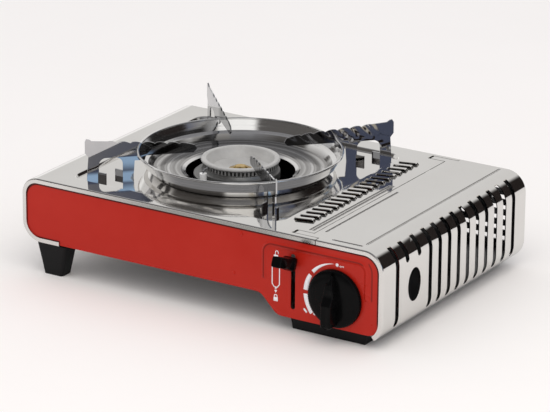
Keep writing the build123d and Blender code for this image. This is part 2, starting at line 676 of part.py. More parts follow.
# Regulator block behind the front panel, with valve boss, inlet cup and pipe boss
BODY_FRONT = PANEL_BACK + 4.5
BODY_BACK = BODY_FRONT + 24.0
CUP_BACK = BODY_BACK + 10.0
BODY_LOW = 21.0
BODY_HIGH = TOP_Z - 11.4
BODY_MID_Z = (BODY_LOW + BODY_HIGH) / 2
BODY_MID_X = (REGULATOR_LEFT + REGULATOR_RIGHT) / 2
INLET_R = 6.05
INLET_DEPTH = 11.0
SEAL_R = 7.0
SEAL_ROOM = 4.0
STEM_R = 3.0
with BuildPart() as regulator_body:
    with BuildSketch(xz(BODY_FRONT)):
        with Locations((BODY_MID_X, BODY_MID_Z)):
            RectangleRounded(REGULATOR_RIGHT - REGULATOR_LEFT, BODY_HIGH - BODY_LOW, 4)
    extrude(amount=-(BODY_BACK - BODY_FRONT))
    with BuildSketch(xz(PANEL_BACK)):
        with Locations((KNOB_X, KNOB_Z)):
            Circle(11)
        with Locations((REGULATOR_LEFT + 6, BODY_HIGH - 7), (REGULATOR_RIGHT - 6, BODY_HIGH - 7)):
            Circle(4.5)
    extrude(amount=-5)
    with BuildSketch(xz(BODY_BACK)):
        with Locations((BAY_AXIS_X, BAY_AXIS_Z)):
            Circle(14)
    extrude(amount=-(CUP_BACK - BODY_BACK))
    with BuildSketch(xz(CUP_BACK)):
        with Locations((BAY_AXIS_X, BAY_AXIS_Z)):
            Circle(INLET_R)
    extrude(amount=INLET_DEPTH, mode=Mode.SUBTRACT)
    with BuildSketch(xz(CUP_BACK - INLET_DEPTH)):
        with Locations((BAY_AXIS_X, BAY_AXIS_Z)):
            Circle(SEAL_R)
    extrude(amount=SEAL_ROOM, mode=Mode.SUBTRACT)
    with BuildSketch(xz(PANEL_BACK)):
        with Locations((KNOB_X, KNOB_Z)):
            Circle(STEM_R + RUN_CLEARANCE)
    extrude(amount=-18, mode=Mode.SUBTRACT)
    with BuildSketch(yz(REGULATOR_LEFT)):
        with Locations((PIPE_Y, PIPE_Z)):
            Circle(5.0)
    extrude(amount=-7)
    with BuildSketch(yz(REGULATOR_LEFT)):
        with Locations((PIPE_Y, PIPE_Z)):
            Circle(PIPE_R)
    extrude(amount=-7, both=True, mode=Mode.SUBTRACT)
regulator_body.part.label = "regulator_body"
export_step(regulator_body.part, "parts/regulator_body.step")

# Diaphragm cover on the right of the regulator
COVER_Y = (BODY_FRONT + BODY_BACK) / 2
with BuildPart() as regulator_cap:
    with BuildSketch(yz(REGULATOR_RIGHT)):
        with Locations((COVER_Y, BODY_MID_Z)):
            Circle(11.8)
    extrude(amount=3)
    with BuildSketch(yz(REGULATOR_RIGHT + 3)):
        with Locations((COVER_Y, BODY_MID_Z)):
            Circle(9.5)
    extrude(amount=5, taper=20)
regulator_cap.part.label = "regulator_cap"
export_step(regulator_cap.part, "parts/regulator_cap.step")

# Rubber seal in its pocket at the bottom of the inlet cup
with BuildPart() as inlet_seal:
    with BuildSketch(xz(CUP_BACK - INLET_DEPTH - SEAL_ROOM)):
        with Locations((BAY_AXIS_X, BAY_AXIS_Z)):
            Circle(SEAL_R)
            Circle(2.4, mode=Mode.SUBTRACT)
    extrude(amount=-(SEAL_ROOM - 1.0))
inlet_seal.part.label = "inlet_seal"
export_step(inlet_seal.part, "parts/inlet_seal.step")

# Valve stem from the regulator through the panel into the knob
KNOB_BACK = PANEL_FACE - 0.8
with BuildPart() as valve_stem:
    with BuildSketch(xz(PANEL_BACK + 16)):
        with Locations((KNOB_X, KNOB_Z)):
            Circle(STEM_R)
    extrude(amount=PANEL_BACK + 16 - KNOB_BACK + 8)
valve_stem.part.label = "valve_stem"
export_step(valve_stem.part, "parts/valve_stem.step")

# Knob: low skirt with a teardrop grip, narrow at the pointer and thick at the tail
with BuildPart() as knob:
    with BuildSketch(xz(KNOB_BACK)):
        with Locations((KNOB_X, KNOB_Z)):
            Circle(KNOB_R)
    extrude(amount=2.6)
    with BuildSketch(xz(KNOB_BACK - 2.6)):
        with Locations((KNOB_X, KNOB_Z)):
            Circle(KNOB_R)
    extrude(amount=2.0, taper=55)
    with BuildSketch(Plane((KNOB_X, KNOB_BACK, KNOB_Z), x_dir=(1, 0, 0), z_dir=(0, -1, 0))):
        with BuildLine():
            tip = (0.0, KNOB_R - 1.4)
            tail_left = (-4.6, -KNOB_R + 4.4)
            tail_right = (4.6, -KNOB_R + 4.4)
            ThreePointArc(tip, (-4.4, 4.0), tail_left)
            ThreePointArc(tail_left, (0.0, -KNOB_R + 2.2), tail_right)
            ThreePointArc(tail_right, (4.4, 4.0), tip)
        make_face()
    extrude(amount=16.0)
    with BuildSketch(yz(KNOB_X - 20)):
        with BuildLine():
            Polyline(
                (KNOB_BACK - 5.2, KNOB_Z + KNOB_R + 1),
                (KNOB_BACK - 5.2, KNOB_Z + KNOB_R - 1.4),
                (KNOB_BACK - 11.2, KNOB_Z + 14.4),
                (KNOB_BACK - 12.0, KNOB_Z + 3.7),
                (KNOB_BACK - 16.0, KNOB_Z - 2.0),
                (KNOB_BACK - 24.0, KNOB_Z - 2.0),
                (KNOB_BACK - 24.0, KNOB_Z + KNOB_R + 1),
                close=True,
            )
        make_face()
    extrude(amount=40, mode=Mode.SUBTRACT)
    with BuildSketch(xz(KNOB_BACK)):
        with Locations((KNOB_X, KNOB_Z)):
            Circle(STEM_R)
    extrude(amount=8, mode=Mode.SUBTRACT)
knob.part.label = "knob"
export_step(knob.part, "parts/knob.step")

# Piezo spark unit beside the valve
PIEZO_BACK = BODY_FRONT + 30.0
with BuildPart() as piezo_igniter:
    with BuildSketch(xz(BODY_FRONT)):
        with Locations((REGULATOR_LEFT - PIEZO_WIDE / 2, LEAD_Z)):
            RectangleRounded(PIEZO_WIDE, 16, 2)
    extrude(amount=-(PIEZO_BACK - BODY_FRONT))
piezo_igniter.part.label = "piezo_igniter"
export_step(piezo_igniter.part, "parts/piezo_igniter.step")

# Spark lead: insulated wire held along its run
LEAD_R = 1.5
SLEEVE_LOW = FLOOR_Z - 20.0
SLEEVE_HIGH = FLOOR_Z + 4.0
lead_path = (
    (REGULATOR_LEFT - 6, PIEZO_BACK, LEAD_Z),
    (REGULATOR_LEFT - 6, LEAD_Y, LEAD_Z),
    (SPARK_X, LEAD_Y, LEAD_Z),
    (SPARK_X, SPARK_Y, LEAD_Z),
    (SPARK_X, SPARK_Y, SLEEVE_LOW),
)
with BuildPart() as ignition_lead:
    with BuildLine() as lead_line:
        FilletPolyline(*lead_path, radius=4.0)
    with BuildSketch(Plane(lead_path[0], z_dir=(0, 1, 0))):
        Circle(LEAD_R)
    sweep(path=lead_line.wires()[0])
ignition_lead.part.label = "ignition_lead"
export_step(ignition_lead.part, "parts/ignition_lead.step")

# White ceramic sleeve in the lug of the cup, and the spark wire out of its top
WIRE_R = 0.8
with BuildPart() as electrode_insulator:
    with BuildSketch(Plane.XY.offset(SLEEVE_LOW)):
        with Locations((SPARK_X, SPARK_Y)):
            Circle(SLEEVE_R)
    extrude(amount=SLEEVE_HIGH - SLEEVE_LOW)
    with BuildSketch(Plane.XY.offset(SLEEVE_LOW + 10)):
        with Locations((SPARK_X, SPARK_Y)):
            Circle(WIRE_R)
    extrude(amount=20, mode=Mode.SUBTRACT)
electrode_insulator.part.label = "electrode_insulator"
export_step(electrode_insulator.part, "parts/electrode_insulator.step")

spark_r = hypot(BURNER_X - SPARK_X, BURNER_Y - SPARK_Y)
spark_in = ((BURNER_X - SPARK_X) / spark_r, (BURNER_Y - SPARK_Y) / spark_r)
wire_path = (
    (SPARK_X, SPARK_Y, SLEEVE_LOW + 10),
    (SPARK_X, SPARK_Y, SLEEVE_HIGH + 2.5),
    (SPARK_X + 4.6 * spark_in[0], SPARK_Y + 4.6 * spark_in[1], SLEEVE_HIGH + 3.6),
)
with BuildPart() as electrode:
    with BuildLine() as wire_line:
        FilletPolyline(*wire_path, radius=1.5)
    with BuildSketch(Plane(wire_path[0])):
        Circle(WIRE_R)
    sweep(path=wire_line.wires()[0])
electrode.part.label = "electrode"
export_step(electrode.part, "parts/electrode.step")

# Lock lever: flat arm on a pivot, with a crank stud that drives the slider
tilt_cos = cos(radians(LEVER_TILT))
tilt_sin = sin(radians(LEVER_TILT))
lever_plane = Plane((LEVER_X, PIVOT_Y, PIVOT_Z), x_dir=(0, -tilt_cos, tilt_sin), z_dir=(-1, 0, 0))
LEVER_SHEET = 2.6
CAP_BACK = 39.8
CAP_HALF = 4.4
CAP_WIDE = 8.8
BAR_X = SEAM_X - 8.5
BAR_SHEET = 1.5
STUD_Y = PIVOT_Y + CRANK * sin(radians(LEVER_SWING / 2))
STUD_Z = PIVOT_Z + CRANK * cos(radians(LEVER_SWING / 2))
reach = PIVOT_BACK + LEVER_REACH
cap_front_low = (reach - CAP_HALF * tilt_sin) / tilt_cos
cap_front_high = (reach + CAP_HALF * tilt_sin) / tilt_cos
arm_end = reach - 8.0
with BuildPart() as lock_lever:
    with BuildSketch(lever_plane):
        Circle(7.0)
        with Locations((arm_end / 2, 0)):
            Rectangle(arm_end, 7.0)
    extrude(amount=LEVER_SHEET / 2, both=True)
    with BuildSketch(yz(LEVER_X - LEVER_SHEET / 2)):
        with BuildLine():
            Line((PIVOT_Y, PIVOT_Z), (STUD_Y, STUD_Z))
            offset(amount=4.5, side=Side.BOTH)
        make_face()
    extrude(amount=LEVER_SHEET)
    with BuildSketch(yz(LEVER_X)):
        with Locations((STUD_Y, STUD_Z)):
            Circle(2.0)
    extrude(amount=BAR_X + BAR_SHEET + 1.0 - LEVER_X)
    with BuildSketch(yz(LEVER_X)):
        with Locations((PIVOT_Y, PIVOT_Z)):
            Circle(2.5 + RUN_CLEARANCE)
    extrude(amount=LEVER_SHEET, both=True, mode=Mode.SUBTRACT)
lock_lever.part.label = "lock_lever"
export_step(lock_lever.part, "parts/lock_lever.step")

# Moulded cap pushed over the end of the lever
with BuildPart() as lever_cap:
    with BuildSketch(lever_plane):
        Polygon(
            (CAP_BACK, -CAP_HALF),
            (cap_front_low, -CAP_HALF),
            (cap_front_high, CAP_HALF),
            (CAP_BACK, CAP_HALF),
            align=None,
        )
    extrude(amount=CAP_WIDE / 2, both=True)
    fillet(lever_cap.edges(), 1.3)
    with BuildSketch(lever_plane):
        with Locations((arm_end / 2, 0)):
            Rectangle(arm_end, 7.0)
    extrude(amount=LEVER_SHEET / 2, both=True, mode=Mode.SUBTRACT)
lever_cap.part.label = "lever_cap"
export_step(lever_cap.part, "parts/lever_cap.step")

# Lever pivot: headed pin riveted in the wall
with BuildPart() as lever_pin:
    with BuildSketch(yz(LEVER_X - LEVER_SHEET / 2 - 0.6)):
        with Locations((PIVOT_Y, PIVOT_Z)):
            Circle(2.5)
    extrude(amount=PARTITION_X + SHEET - LEVER_X + LEVER_SHEET / 2 + 0.6)
    with BuildSketch(yz(LEVER_X - LEVER_SHEET / 2 - 0.6)):
        with Locations((PIVOT_Y, PIVOT_Z)):
            Circle(4.5)
    extrude(amount=-1.6)
    with BuildSketch(yz(LEVER_X + LEVER_SHEET / 2 + 0.6)):
        with Locations((PIVOT_Y, PIVOT_Z)):
            Circle(3.6)
    extrude(amount=PARTITION_X - LEVER_X - LEVER_SHEET / 2 - 0.6)
lever_pin.part.label = "lever_pin"
export_step(lever_pin.part, "parts/lever_pin.step")

# Slider: long bar driven by the lever, with a hook through the wall behind the cartridge
BAR_FRONT = STUD_Y - 7.0
BAR_MID_Z = (BAR_LOW + BAR_HIGH) / 2
with BuildPart() as slider:
    with BuildSketch(yz(BAR_X)):
        with Locations(((BAR_FRONT + HOOK_Y) / 2, BAR_MID_Z)):
            Rectangle(HOOK_Y - BAR_FRONT, BAR_HIGH - BAR_LOW)
    extrude(amount=BAR_SHEET)
    with BuildSketch(xz(HOOK_Y)):
        with Locations((BAR_X + 20, BAR_MID_Z)):
            Rectangle(40, BAR_HIGH - BAR_LOW)
        with Locations((BAR_X + 42, BAR_MID_Z - 4)):
            RectangleRounded(22, 26, 4)
    extrude(amount=-BAR_SHEET)
    with BuildSketch(yz(BAR_X)):
        stud_drop = CRANK * (1 - cos(radians(LEVER_SWING / 2)))
        with Locations((STUD_Y, STUD_Z + stud_drop / 2)):
            SlotOverall(4.6 + stud_drop + 0.6, 4.6, rotation=90)
        for guide in GUIDE_Y:
            with Locations((guide + SLIDE / 2, BAR_MID_Z)):
                SlotOverall(SLIDE + 4.8, 4.6)
    extrude(amount=BAR_SHEET, mode=Mode.SUBTRACT)
slider.part.label = "slider"
export_step(slider.part, "parts/slider.step")

# Headed guide studs that carry the slider on the wall
with BuildPart() as slider_guides:
    for guide in GUIDE_Y:
        with BuildSketch(yz(BAR_X - 0.4)):
            with Locations((guide, BAR_MID_Z)):
                Circle(2.0)
        extrude(amount=PARTITION_X + SHEET - BAR_X + 0.4)
        with BuildSketch(yz(BAR_X - 0.4)):
            with Locations((guide, BAR_MID_Z)):
                Circle(4.0)
        extrude(amount=-1.2)
        with BuildSketch(yz(BAR_X + BAR_SHEET + 0.4)):
            with Locations((guide, BAR_MID_Z)):
                Circle(4.0)
        extrude(amount=PARTITION_X - BAR_X - BAR_SHEET - 0.4)
slider_guides.part.label = "slider_guides"
export_step(slider_guides.part, "parts/slider_guides.step")

# Drip dish of the pan support: spun sheet with a stepped wall and rolled rim
SLIT_Z = DISH_RIM_Z - 2.5
dish_path = spun((46.0, -2.0), (50.5, 0.0), (73.0, 0.0), (77.0, 5.6), (80.4, 6.6), (85.0, DISH_H))
with BuildPart() as trivet_dish:
    with BuildSketch(floor_plane):
        add(band(dish_path, (1.2, 2.0, 1.2, 1.2), SHEET, Side.LEFT))
        with Locations((DISH_RIM_R, DISH_H)):
            Circle(1.1)
    revolve(axis=burner_axis)
    with BuildSketch(Plane.XY.offset(SLIT_Z)):
        with Locations((BURNER_X, BURNER_Y)):
            with PolarLocations(DISH_RIM_R, 4, start_angle=45):
                Rectangle(8, FIN_SHEET)
    extrude(amount=8, mode=Mode.SUBTRACT)
trivet_dish.part.label = "trivet_dish"
export_step(trivet_dish.part, "parts/trivet_dish.step")

# Pan-support fins: flat blades with a toothed top edge, two legs and bent foot tabs
LEG_OUT = (119.5 * PAN, 129.5 * PAN)
LEG_IN = (90.5 * PAN, 99.5 * PAN)
ARCH_R = 6.0 * PAN
TAB = (8.0, 5.5)
tooth_start = 112.0 * PAN
tooth_step = TOOTH_PITCH * PAN
tooth_end = tooth_start - TOOTH_COUNT * tooth_step


def top_edge(r):
    """Height of the blade's top edge at distance r from the burner axis."""
    return FIN_TOP_Z - 8.2 + 6.0 * (r / PAN - 51.0) / (125.0 - 51.0)


for number, turn in enumerate((225, 315, 45, 135), start=1):
    fin_dir = (cos(radians(turn)), sin(radians(turn)), 0)
    fin_side = (sin(radians(turn)), -cos(radians(turn)), 0)
    with BuildPart() as fin:
        with BuildSketch(Plane((BURNER_X, BURNER_Y, 0), x_dir=fin_dir, z_dir=fin_side)):
            with BuildLine():
                Polyline(
                    (tooth_start, top_edge(tooth_start)),
                    (125.0 * PAN, top_edge(125.0 * PAN)),
                    (127.4 * PAN, FIN_TOP_Z - 0.6),
                    (129.6 * PAN, FIN_TOP_Z),
                    (FIN_REACH, FIN_TOP_Z - 2.5),
                    (FIN_REACH, FIN_TOP_Z - 12.0),
                    (LEG_OUT[1] - 1.2, FIN_TOP_Z - 15.5),
                    (LEG_OUT[1], FLOOR_Z),
                    (LEG_OUT[0], FLOOR_Z),
                    (LEG_OUT[0], BLADE_LOW - ARCH_R),
                )
                RadiusArc((LEG_OUT[0], BLADE_LOW - ARCH_R), (LEG_OUT[0] - ARCH_R, BLADE_LOW), -ARCH_R)
                Line((LEG_OUT[0] - ARCH_R, BLADE_LOW), (LEG_IN[1] + ARCH_R, BLADE_LOW))
                RadiusArc((LEG_IN[1] + ARCH_R, BLADE_LOW), (LEG_IN[1], BLADE_LOW - ARCH_R), -ARCH_R)
                Polyline(
                    (LEG_IN[1], BLADE_LOW - ARCH_R),
                    (LEG_IN[1], FLOOR_Z),
                    (LEG_IN[0], FLOOR_Z),
                    (LEG_IN[0] - 1.0, SLIT_Z),
                    (DISH_RIM_R - 4.0, SLIT_Z),
                    (DISH_RIM_R - 5.0, BLADE_LOW),
                    (tooth_end - 10.2, BLADE_LOW),
                    (tooth_end - 13.2, BLADE_LOW + 3.0),
                    (tooth_end - 11.2, top_edge(tooth_end) - 2.5),
                    (tooth_end - 4.2, top_edge(tooth_end) - 0.6),
                    (tooth_end, top_edge(tooth_end)),
                )
                for tooth in range(TOOTH_COUNT):
                    low = tooth_end + tooth * tooth_step
                    valley = low + 1.6
                    high = low + tooth_step
                    Line((low, top_edge(low)), (valley, top_edge(low) - 1.0))
                    ThreePointArc(
                        (valley, top_edge(low) - 1.0),
                        (valley + 3.2, top_edge(low) + 0.5),
                        (high, top_edge(high)),
                    )
            make_face()
        extrude(amount=FIN_SHEET / 2, both=True)
        for start_r, bend in ((LEG_OUT[0] + 0.6, 135), (LEG_IN[1] - 0.6, -45)):
            angle = radians(turn + bend)
            tab_x = BURNER_X + start_r * fin_dir[0] + TAB[0] / 2 * cos(angle)
            tab_y = BURNER_Y + start_r * fin_dir[1] + TAB[0] / 2 * sin(angle)
            with BuildSketch(Plane.XY.offset(FLOOR_Z)):
                with Locations(Location((tab_x, tab_y), turn + bend)):
                    Rectangle(TAB[0], FIN_SHEET)
            extrude(amount=TAB[1])
    fin.part.label = f"trivet_fin_{number}"
    export_step(fin.part, f"parts/trivet_fin_{number}.step")
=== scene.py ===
# Portable gas stove with a red front, a polished top and a slotted cartridge cover.
# Metres, +Z up, front toward -Y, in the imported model's own frame.
import math

import bpy
import numpy as np
from mathutils import Matrix, Vector


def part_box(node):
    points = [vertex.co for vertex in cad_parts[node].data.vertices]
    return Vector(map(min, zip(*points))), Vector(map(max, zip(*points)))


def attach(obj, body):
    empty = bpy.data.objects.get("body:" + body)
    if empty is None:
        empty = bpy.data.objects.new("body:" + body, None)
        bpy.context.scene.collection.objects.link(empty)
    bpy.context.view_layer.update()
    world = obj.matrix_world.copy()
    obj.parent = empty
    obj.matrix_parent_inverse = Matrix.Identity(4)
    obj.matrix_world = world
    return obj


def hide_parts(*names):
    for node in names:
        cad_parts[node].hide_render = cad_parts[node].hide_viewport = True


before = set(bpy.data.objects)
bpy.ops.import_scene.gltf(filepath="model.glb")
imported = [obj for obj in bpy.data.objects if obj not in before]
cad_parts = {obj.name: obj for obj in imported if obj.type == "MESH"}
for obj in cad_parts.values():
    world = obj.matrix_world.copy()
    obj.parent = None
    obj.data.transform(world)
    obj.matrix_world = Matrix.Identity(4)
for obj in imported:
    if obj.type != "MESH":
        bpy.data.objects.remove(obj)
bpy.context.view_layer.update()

# Bottom pan, rear panel, dividing wall, burner strap and small brackets.
# Thin zinc-plated sheet, pressed and bent; a cool grey with cloudy patches, kept darker than the plating itself
# as painted shade, so that the inside of the case reads dark through the slots.
# The pan is spot-welded to both end panels and carries everything else.
# Both greys are darkened as painted shade
ZINC_SHADED_DARK = (0.23, 0.232, 0.236, 1.0)
ZINC_SHADED_LIGHT = (0.29, 0.293, 0.297, 1.0)


def add_node(tree, kind, inputs=None, **settings):
    """One shader node; each input is a fixed value or the socket that feeds it."""
    node = tree.nodes.new("ShaderNode" + kind)
    for name, value in settings.items():
        setattr(node, name, value)
    for name, value in (inputs or {}).items():
        socket = node.inputs[name]
        if isinstance(value, bpy.types.NodeSocket):
            tree.links.new(value, socket)
        else:
            socket.default_value = value
    return node


def ramp(tree, value, start, end, low=0.0, high=1.0, **settings):
    """Low up to start, high from end on, and straight between; start may lie above end."""
    inputs = {"Value": value, "From Min": start, "From Max": end, "To Min": low, "To Max": high}
    return add_node(tree, "MapRange", inputs, **settings).outputs["Result"]


def blend(tree, share, first, second):
    """Colour between two colours, each fixed or a socket; a share of 0 is the first and 1 the second."""
    return add_node(tree, "Mix", {"Factor": share, 6: first, 7: second}, data_type="RGBA").outputs[2]


def new_finish(name, **fixed):
    """A material with its surface shader's fixed values set, and the piece's own coordinates."""
    finish = bpy.data.materials.new(name)
    finish.use_nodes = True
    tree = finish.node_tree
    shader = tree.nodes["Principled BSDF"]
    for socket, value in fixed.items():
        shader.inputs[socket.replace("_", " ")].default_value = value
    place = tree.nodes.new("ShaderNodeTexCoord").outputs["Object"]
    return finish, tree, shader, place


def feed(tree, shader, **results):
    """Links results to the surface shader's sockets, named with _ for each space."""
    for socket, result in results.items():
        tree.links.new(result, shader.inputs[socket.replace("_", " ")])


def new_effect(name, inputs, outputs):
    """An empty shared effect: a node group with a vector Place input, float inputs and named outputs."""
    effect = bpy.data.node_groups.new(name, "ShaderNodeTree")
    sockets = effect.interface
    sockets.new_socket("Place", in_out="INPUT", socket_type="NodeSocketVector")
    for label, value in inputs.items():
        sockets.new_socket(label, in_out="INPUT", socket_type="NodeSocketFloat").default_value = value
    for label in outputs:
        sockets.new_socket(label, in_out="OUTPUT", socket_type="NodeSocketFloat")
    entry = effect.nodes.new("NodeGroupInput").outputs
    leave = effect.nodes.new("NodeGroupOutput").inputs
    return effect, entry, leave


def add_effect(tree, effect, place, **values):
    """Places a shared effect in a material with its own values."""
    node = tree.nodes.new("ShaderNodeGroup")
    node.node_tree = effect
    tree.links.new(place, node.inputs["Place"])
    for label, value in values.items():
        node.inputs[label].default_value = value
    return node.outputs


def dress(finish, *names):
    """Puts a finish on carried-over solids."""
    for name in names:
        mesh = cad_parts[name].data
        mesh.materials.clear()
        mesh.materials.append(finish)


# Cloudy patches: soft noise, as a mask from 0 to 1 and as a value between a low and a high one
clouds, entry, leave = new_effect("cloudy patches", {"Size": 40.0, "Low": 0.2, "High": 0.5}, ["Value", "Mask"])
noise_inputs = {"Vector": entry["Place"], "Scale": entry["Size"], "Detail": 4.0, "Roughness": 0.6}
spread = ramp(clouds, add_node(clouds, "TexNoise", noise_inputs).outputs["Fac"], 0.3, 0.7)
clouds.links.new(ramp(clouds, spread, 0.0, 1.0, entry["Low"], entry["High"]), leave["Value"])
clouds.links.new(spread, leave["Mask"])


def cloudy_colour(tree, place, size, dark, light):
    """Colour that wanders between a dark and a light one in cloudy patches, finer for a larger size."""
    patch = add_effect(tree, clouds, place, Size=size, Low=0.0, High=1.0)
    return blend(tree, patch["Value"], dark, light)


zinc, tree, shader, place = new_finish("zinc plated sheet", Metallic=1.0)
patch = add_effect(tree, clouds, place, Size=90.0, Low=0.28, High=0.46)
feed(tree, shader, Roughness=patch["Value"], Base_Color=blend(tree, patch["Mask"], ZINC_SHADED_DARK, ZINC_SHADED_LIGHT))
dress(
    zinc, "base_pan", "rear_panel", "partition", "hinge_brackets", "burner_stand", "mixing_tube",
    "regulator_cap", "slider",
)

# Red front panel.
# Deep-drawn sheet with a raised arch round the controls, sprayed in satin gloss red.
# The paint has a faint orange peel and sits inside the rims of the top plate and the cover.
RED = (0.44, 0.016, 0.008, 1.0)
RED_LIGHT = (0.475, 0.021, 0.011, 1.0)
# Colour of the painted shade along the rims and beside the arch
PAINTED_SHADE_COLOUR = (0.035, 0.004, 0.003, 1.0)
LEFT_RIM = {"Left": -0.1692, "Right": 0.5, "Low": 0.0304, "High": 0.0779, "Corner": 0.0125}
RIGHT_RIM = {"Left": -0.5, "Right": 0.1677, "Low": -0.1, "High": 0.0779, "Corner": 0.014}
ARCH_INNER = {"Left": 0.0624, "Right": 0.157, "Low": -0.1, "High": 0.0708, "Corner": 0.0077}
ARCH_OUTER = {"Left": 0.0578, "Right": 0.1616, "Low": -0.1, "High": 0.0754, "Corner": 0.0123}
RIM_SHADE_EDGE = (-0.0016, -0.0009)
RIM_SHADE_SHARE = 0.92
# Width, foot and strength of the fainter painted shade beside the arch
CREASE_SHADE_EDGE = (0.0009, 0.0003)
CREASE_SHADE_FOOT = (0.040, 0.0415)
CREASE_SHADE_SHARE = 0.6


def reckon(tree, operation, first, second=0.0):
    """Result of one arithmetic node."""
    return add_node(tree, "Math", {0: first, 1: second}, operation=operation).outputs[0]


def product(tree, first, *others):
    """First value times each of the others."""
    for other in others:
        first = reckon(tree, "MULTIPLY", first, other)
    return first


def relief(tree, height, strength, distance, **start):
    """Normal of a surface that a height raises, over the Normal that it starts from if one is given."""
    inputs = {"Strength": strength, "Distance": distance, "Height": height, **start}
    return add_node(tree, "Bump", inputs).outputs["Normal"]


# Rounded frame: distance of a point from a rounded rectangle on X and Z, below zero inside it
round_frame, entry, leave = new_effect(
    "rounded frame", {"Left": 0.0, "Right": 0.1, "Low": 0.0, "High": 0.1, "Corner": 0.01}, ["Distance"],
)
parts = add_node(round_frame, "SeparateXYZ", {0: entry["Place"]}).outputs
beyond = []
for axis, low, high in (("X", "Left", "Right"), ("Z", "Low", "High")):
    before = reckon(round_frame, "SUBTRACT", entry[low], parts[axis])
    after = reckon(round_frame, "SUBTRACT", parts[axis], entry[high])
    farther = reckon(round_frame, "MAXIMUM", before, after)
    beyond.append(reckon(round_frame, "ADD", farther, entry["Corner"]))
outside = [reckon(round_frame, "MAXIMUM", far, 0.0) for far in beyond]
squares = [reckon(round_frame, "MULTIPLY", far, far) for far in outside]
reach = reckon(round_frame, "SQRT", reckon(round_frame, "ADD", *squares))
within = reckon(round_frame, "MINIMUM", reckon(round_frame, "MAXIMUM", *beyond), 0.0)
signed = reckon(round_frame, "SUBTRACT", reckon(round_frame, "ADD", reach, within), entry["Corner"])
round_frame.links.new(signed, leave["Distance"])

red_paint, tree, shader, place = new_finish("red satin paint", Specular_IOR_Level=0.2)
patch = add_effect(tree, clouds, place, Size=22.0, Low=0.26, High=0.36)
shade = blend(tree, patch["Mask"], RED, RED_LIGHT)
spot = add_node(tree, "SeparateXYZ", {0: place}).outputs

# Painted shade: a dark line along both rims, where the rims shade the gap to the recessed paint
left_rim_shade_band = ramp(tree, add_effect(tree, round_frame, place, **LEFT_RIM)["Distance"], *RIM_SHADE_EDGE)
right_rim_shade_band = ramp(tree, add_effect(tree, round_frame, place, **RIGHT_RIM)["Distance"], *RIM_SHADE_EDGE)
lip = reckon(tree, "MAXIMUM", ramp(tree, spot["X"], -0.1355, -0.1359), ramp(tree, spot["Z"], 0.039, 0.041))
left_rim_shade = product(tree, left_rim_shade_band, lip, ramp(tree, spot["X"], 0.001, -0.001))
right_rim_shade = product(
    tree, right_rim_shade_band, ramp(tree, spot["X"], -0.001, 0.001), ramp(tree, spot["Z"], 0.018, 0.024),
)
painted_shade = product(tree, reckon(tree, "MAXIMUM", left_rim_shade, right_rim_shade), RIM_SHADE_SHARE)

# Fainter painted shade along the foot and the shoulder of the arch, on the flanks that face away from the light
for outline, first, last in ((ARCH_INNER, 0.155, 0.153), (ARCH_OUTER, 0.158, 0.1585)):
    off_line = reckon(tree, "ABSOLUTE", add_effect(tree, round_frame, place, **outline)["Distance"])
    crease_shade = product(
        tree, ramp(tree, off_line, *CREASE_SHADE_EDGE), ramp(tree, spot["X"], first, last),
        ramp(tree, spot["Z"], *CREASE_SHADE_FOOT), CREASE_SHADE_SHARE,
    )
    painted_shade = reckon(tree, "MAXIMUM", painted_shade, crease_shade)
peel = add_node(tree, "TexNoise", {"Vector": place, "Scale": 900.0, "Detail": 2.0}).outputs["Fac"]
feed(
    tree, shader, Roughness=patch["Value"], Base_Color=blend(tree, painted_shade, shade, PAINTED_SHADE_COLOUR),
    Normal=relief(tree, peel, 0.08, 0.0002),
)
dress(red_paint, "front_panel")

# Printed signs on the front panel.
# White ink, screen-printed: a growing dial crescent, a start dot, small lock signs and a cartridge outline.
# Each print is a film a few hundredths of a millimetre thick on the paint.
MM = 0.001
PANEL_FACE_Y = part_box("front_panel")[0].y
ARCH_HEIGHT = 0.9
FILM = 0.06
INK_Y = PANEL_FACE_Y + (ARCH_HEIGHT - FILM) * MM
INK_THICK = FILM * MM
INK_DARK = (0.90, 0.88, 0.90, 1.0)
INK_LIGHT = (0.96, 0.94, 0.96, 1.0)
DIAL_X, DIAL_Z, DIAL_R = 127.6, 37.0, 28.3
DIAL_BAND = 4.6
SIGN_X = 73.6
WORD_X, WORD_Z = 133.0, 64.3

ink, tree, shader, place = new_finish("white screen ink", Roughness=0.45)
feed(tree, shader, Base_Color=cloudy_colour(tree, place, 600.0, INK_DARK, INK_LIGHT))


def grid_faces(rows, columns, closed=False):
    """Corner numbers of the quads of a rows by columns grid; a closed one joins its last and first columns."""
    last = columns if closed else columns - 1
    row, column = np.meshgrid(np.arange(rows - 1), np.arange(last), indexing="ij")
    beside = (column + 1) % columns
    lower = row * columns
    upper = lower + columns
    corners = [lower + column, lower + beside, upper + beside, upper + column]
    return np.stack(corners, axis=-1).reshape(-1, 4)


def new_piece(name, points, faces, finish, smooth=True):
    """A mesh object at the origin from an array of points and one of faces."""
    mesh = bpy.data.meshes.new(name)
    mesh.from_pydata(np.asarray(points, float).reshape(-1, 3), [], np.asarray(faces).tolist())
    mesh.materials.append(finish)
    mesh.polygons.foreach_set("use_smooth", np.full(len(mesh.polygons), smooth))
    piece = bpy.data.objects.new(name, mesh)
    bpy.context.scene.collection.objects.link(piece)
    return piece


def join(parts):
    """One list of points and one of faces from several grids."""
    starts = np.cumsum([0] + [spots.size // 3 for spots, quads in parts])
    points = np.concatenate([spots.reshape(-1, 3) for spots, quads in parts])
    return points, np.concatenate([quads + start for (spots, quads), start in zip(parts, starts)])


def ink_grid(x, z):
    """Points of a flat print, in millimetres across and up, laid on the panel's face."""
    return np.stack([x * MM, np.full(x.shape, INK_Y), z * MM], axis=-1)


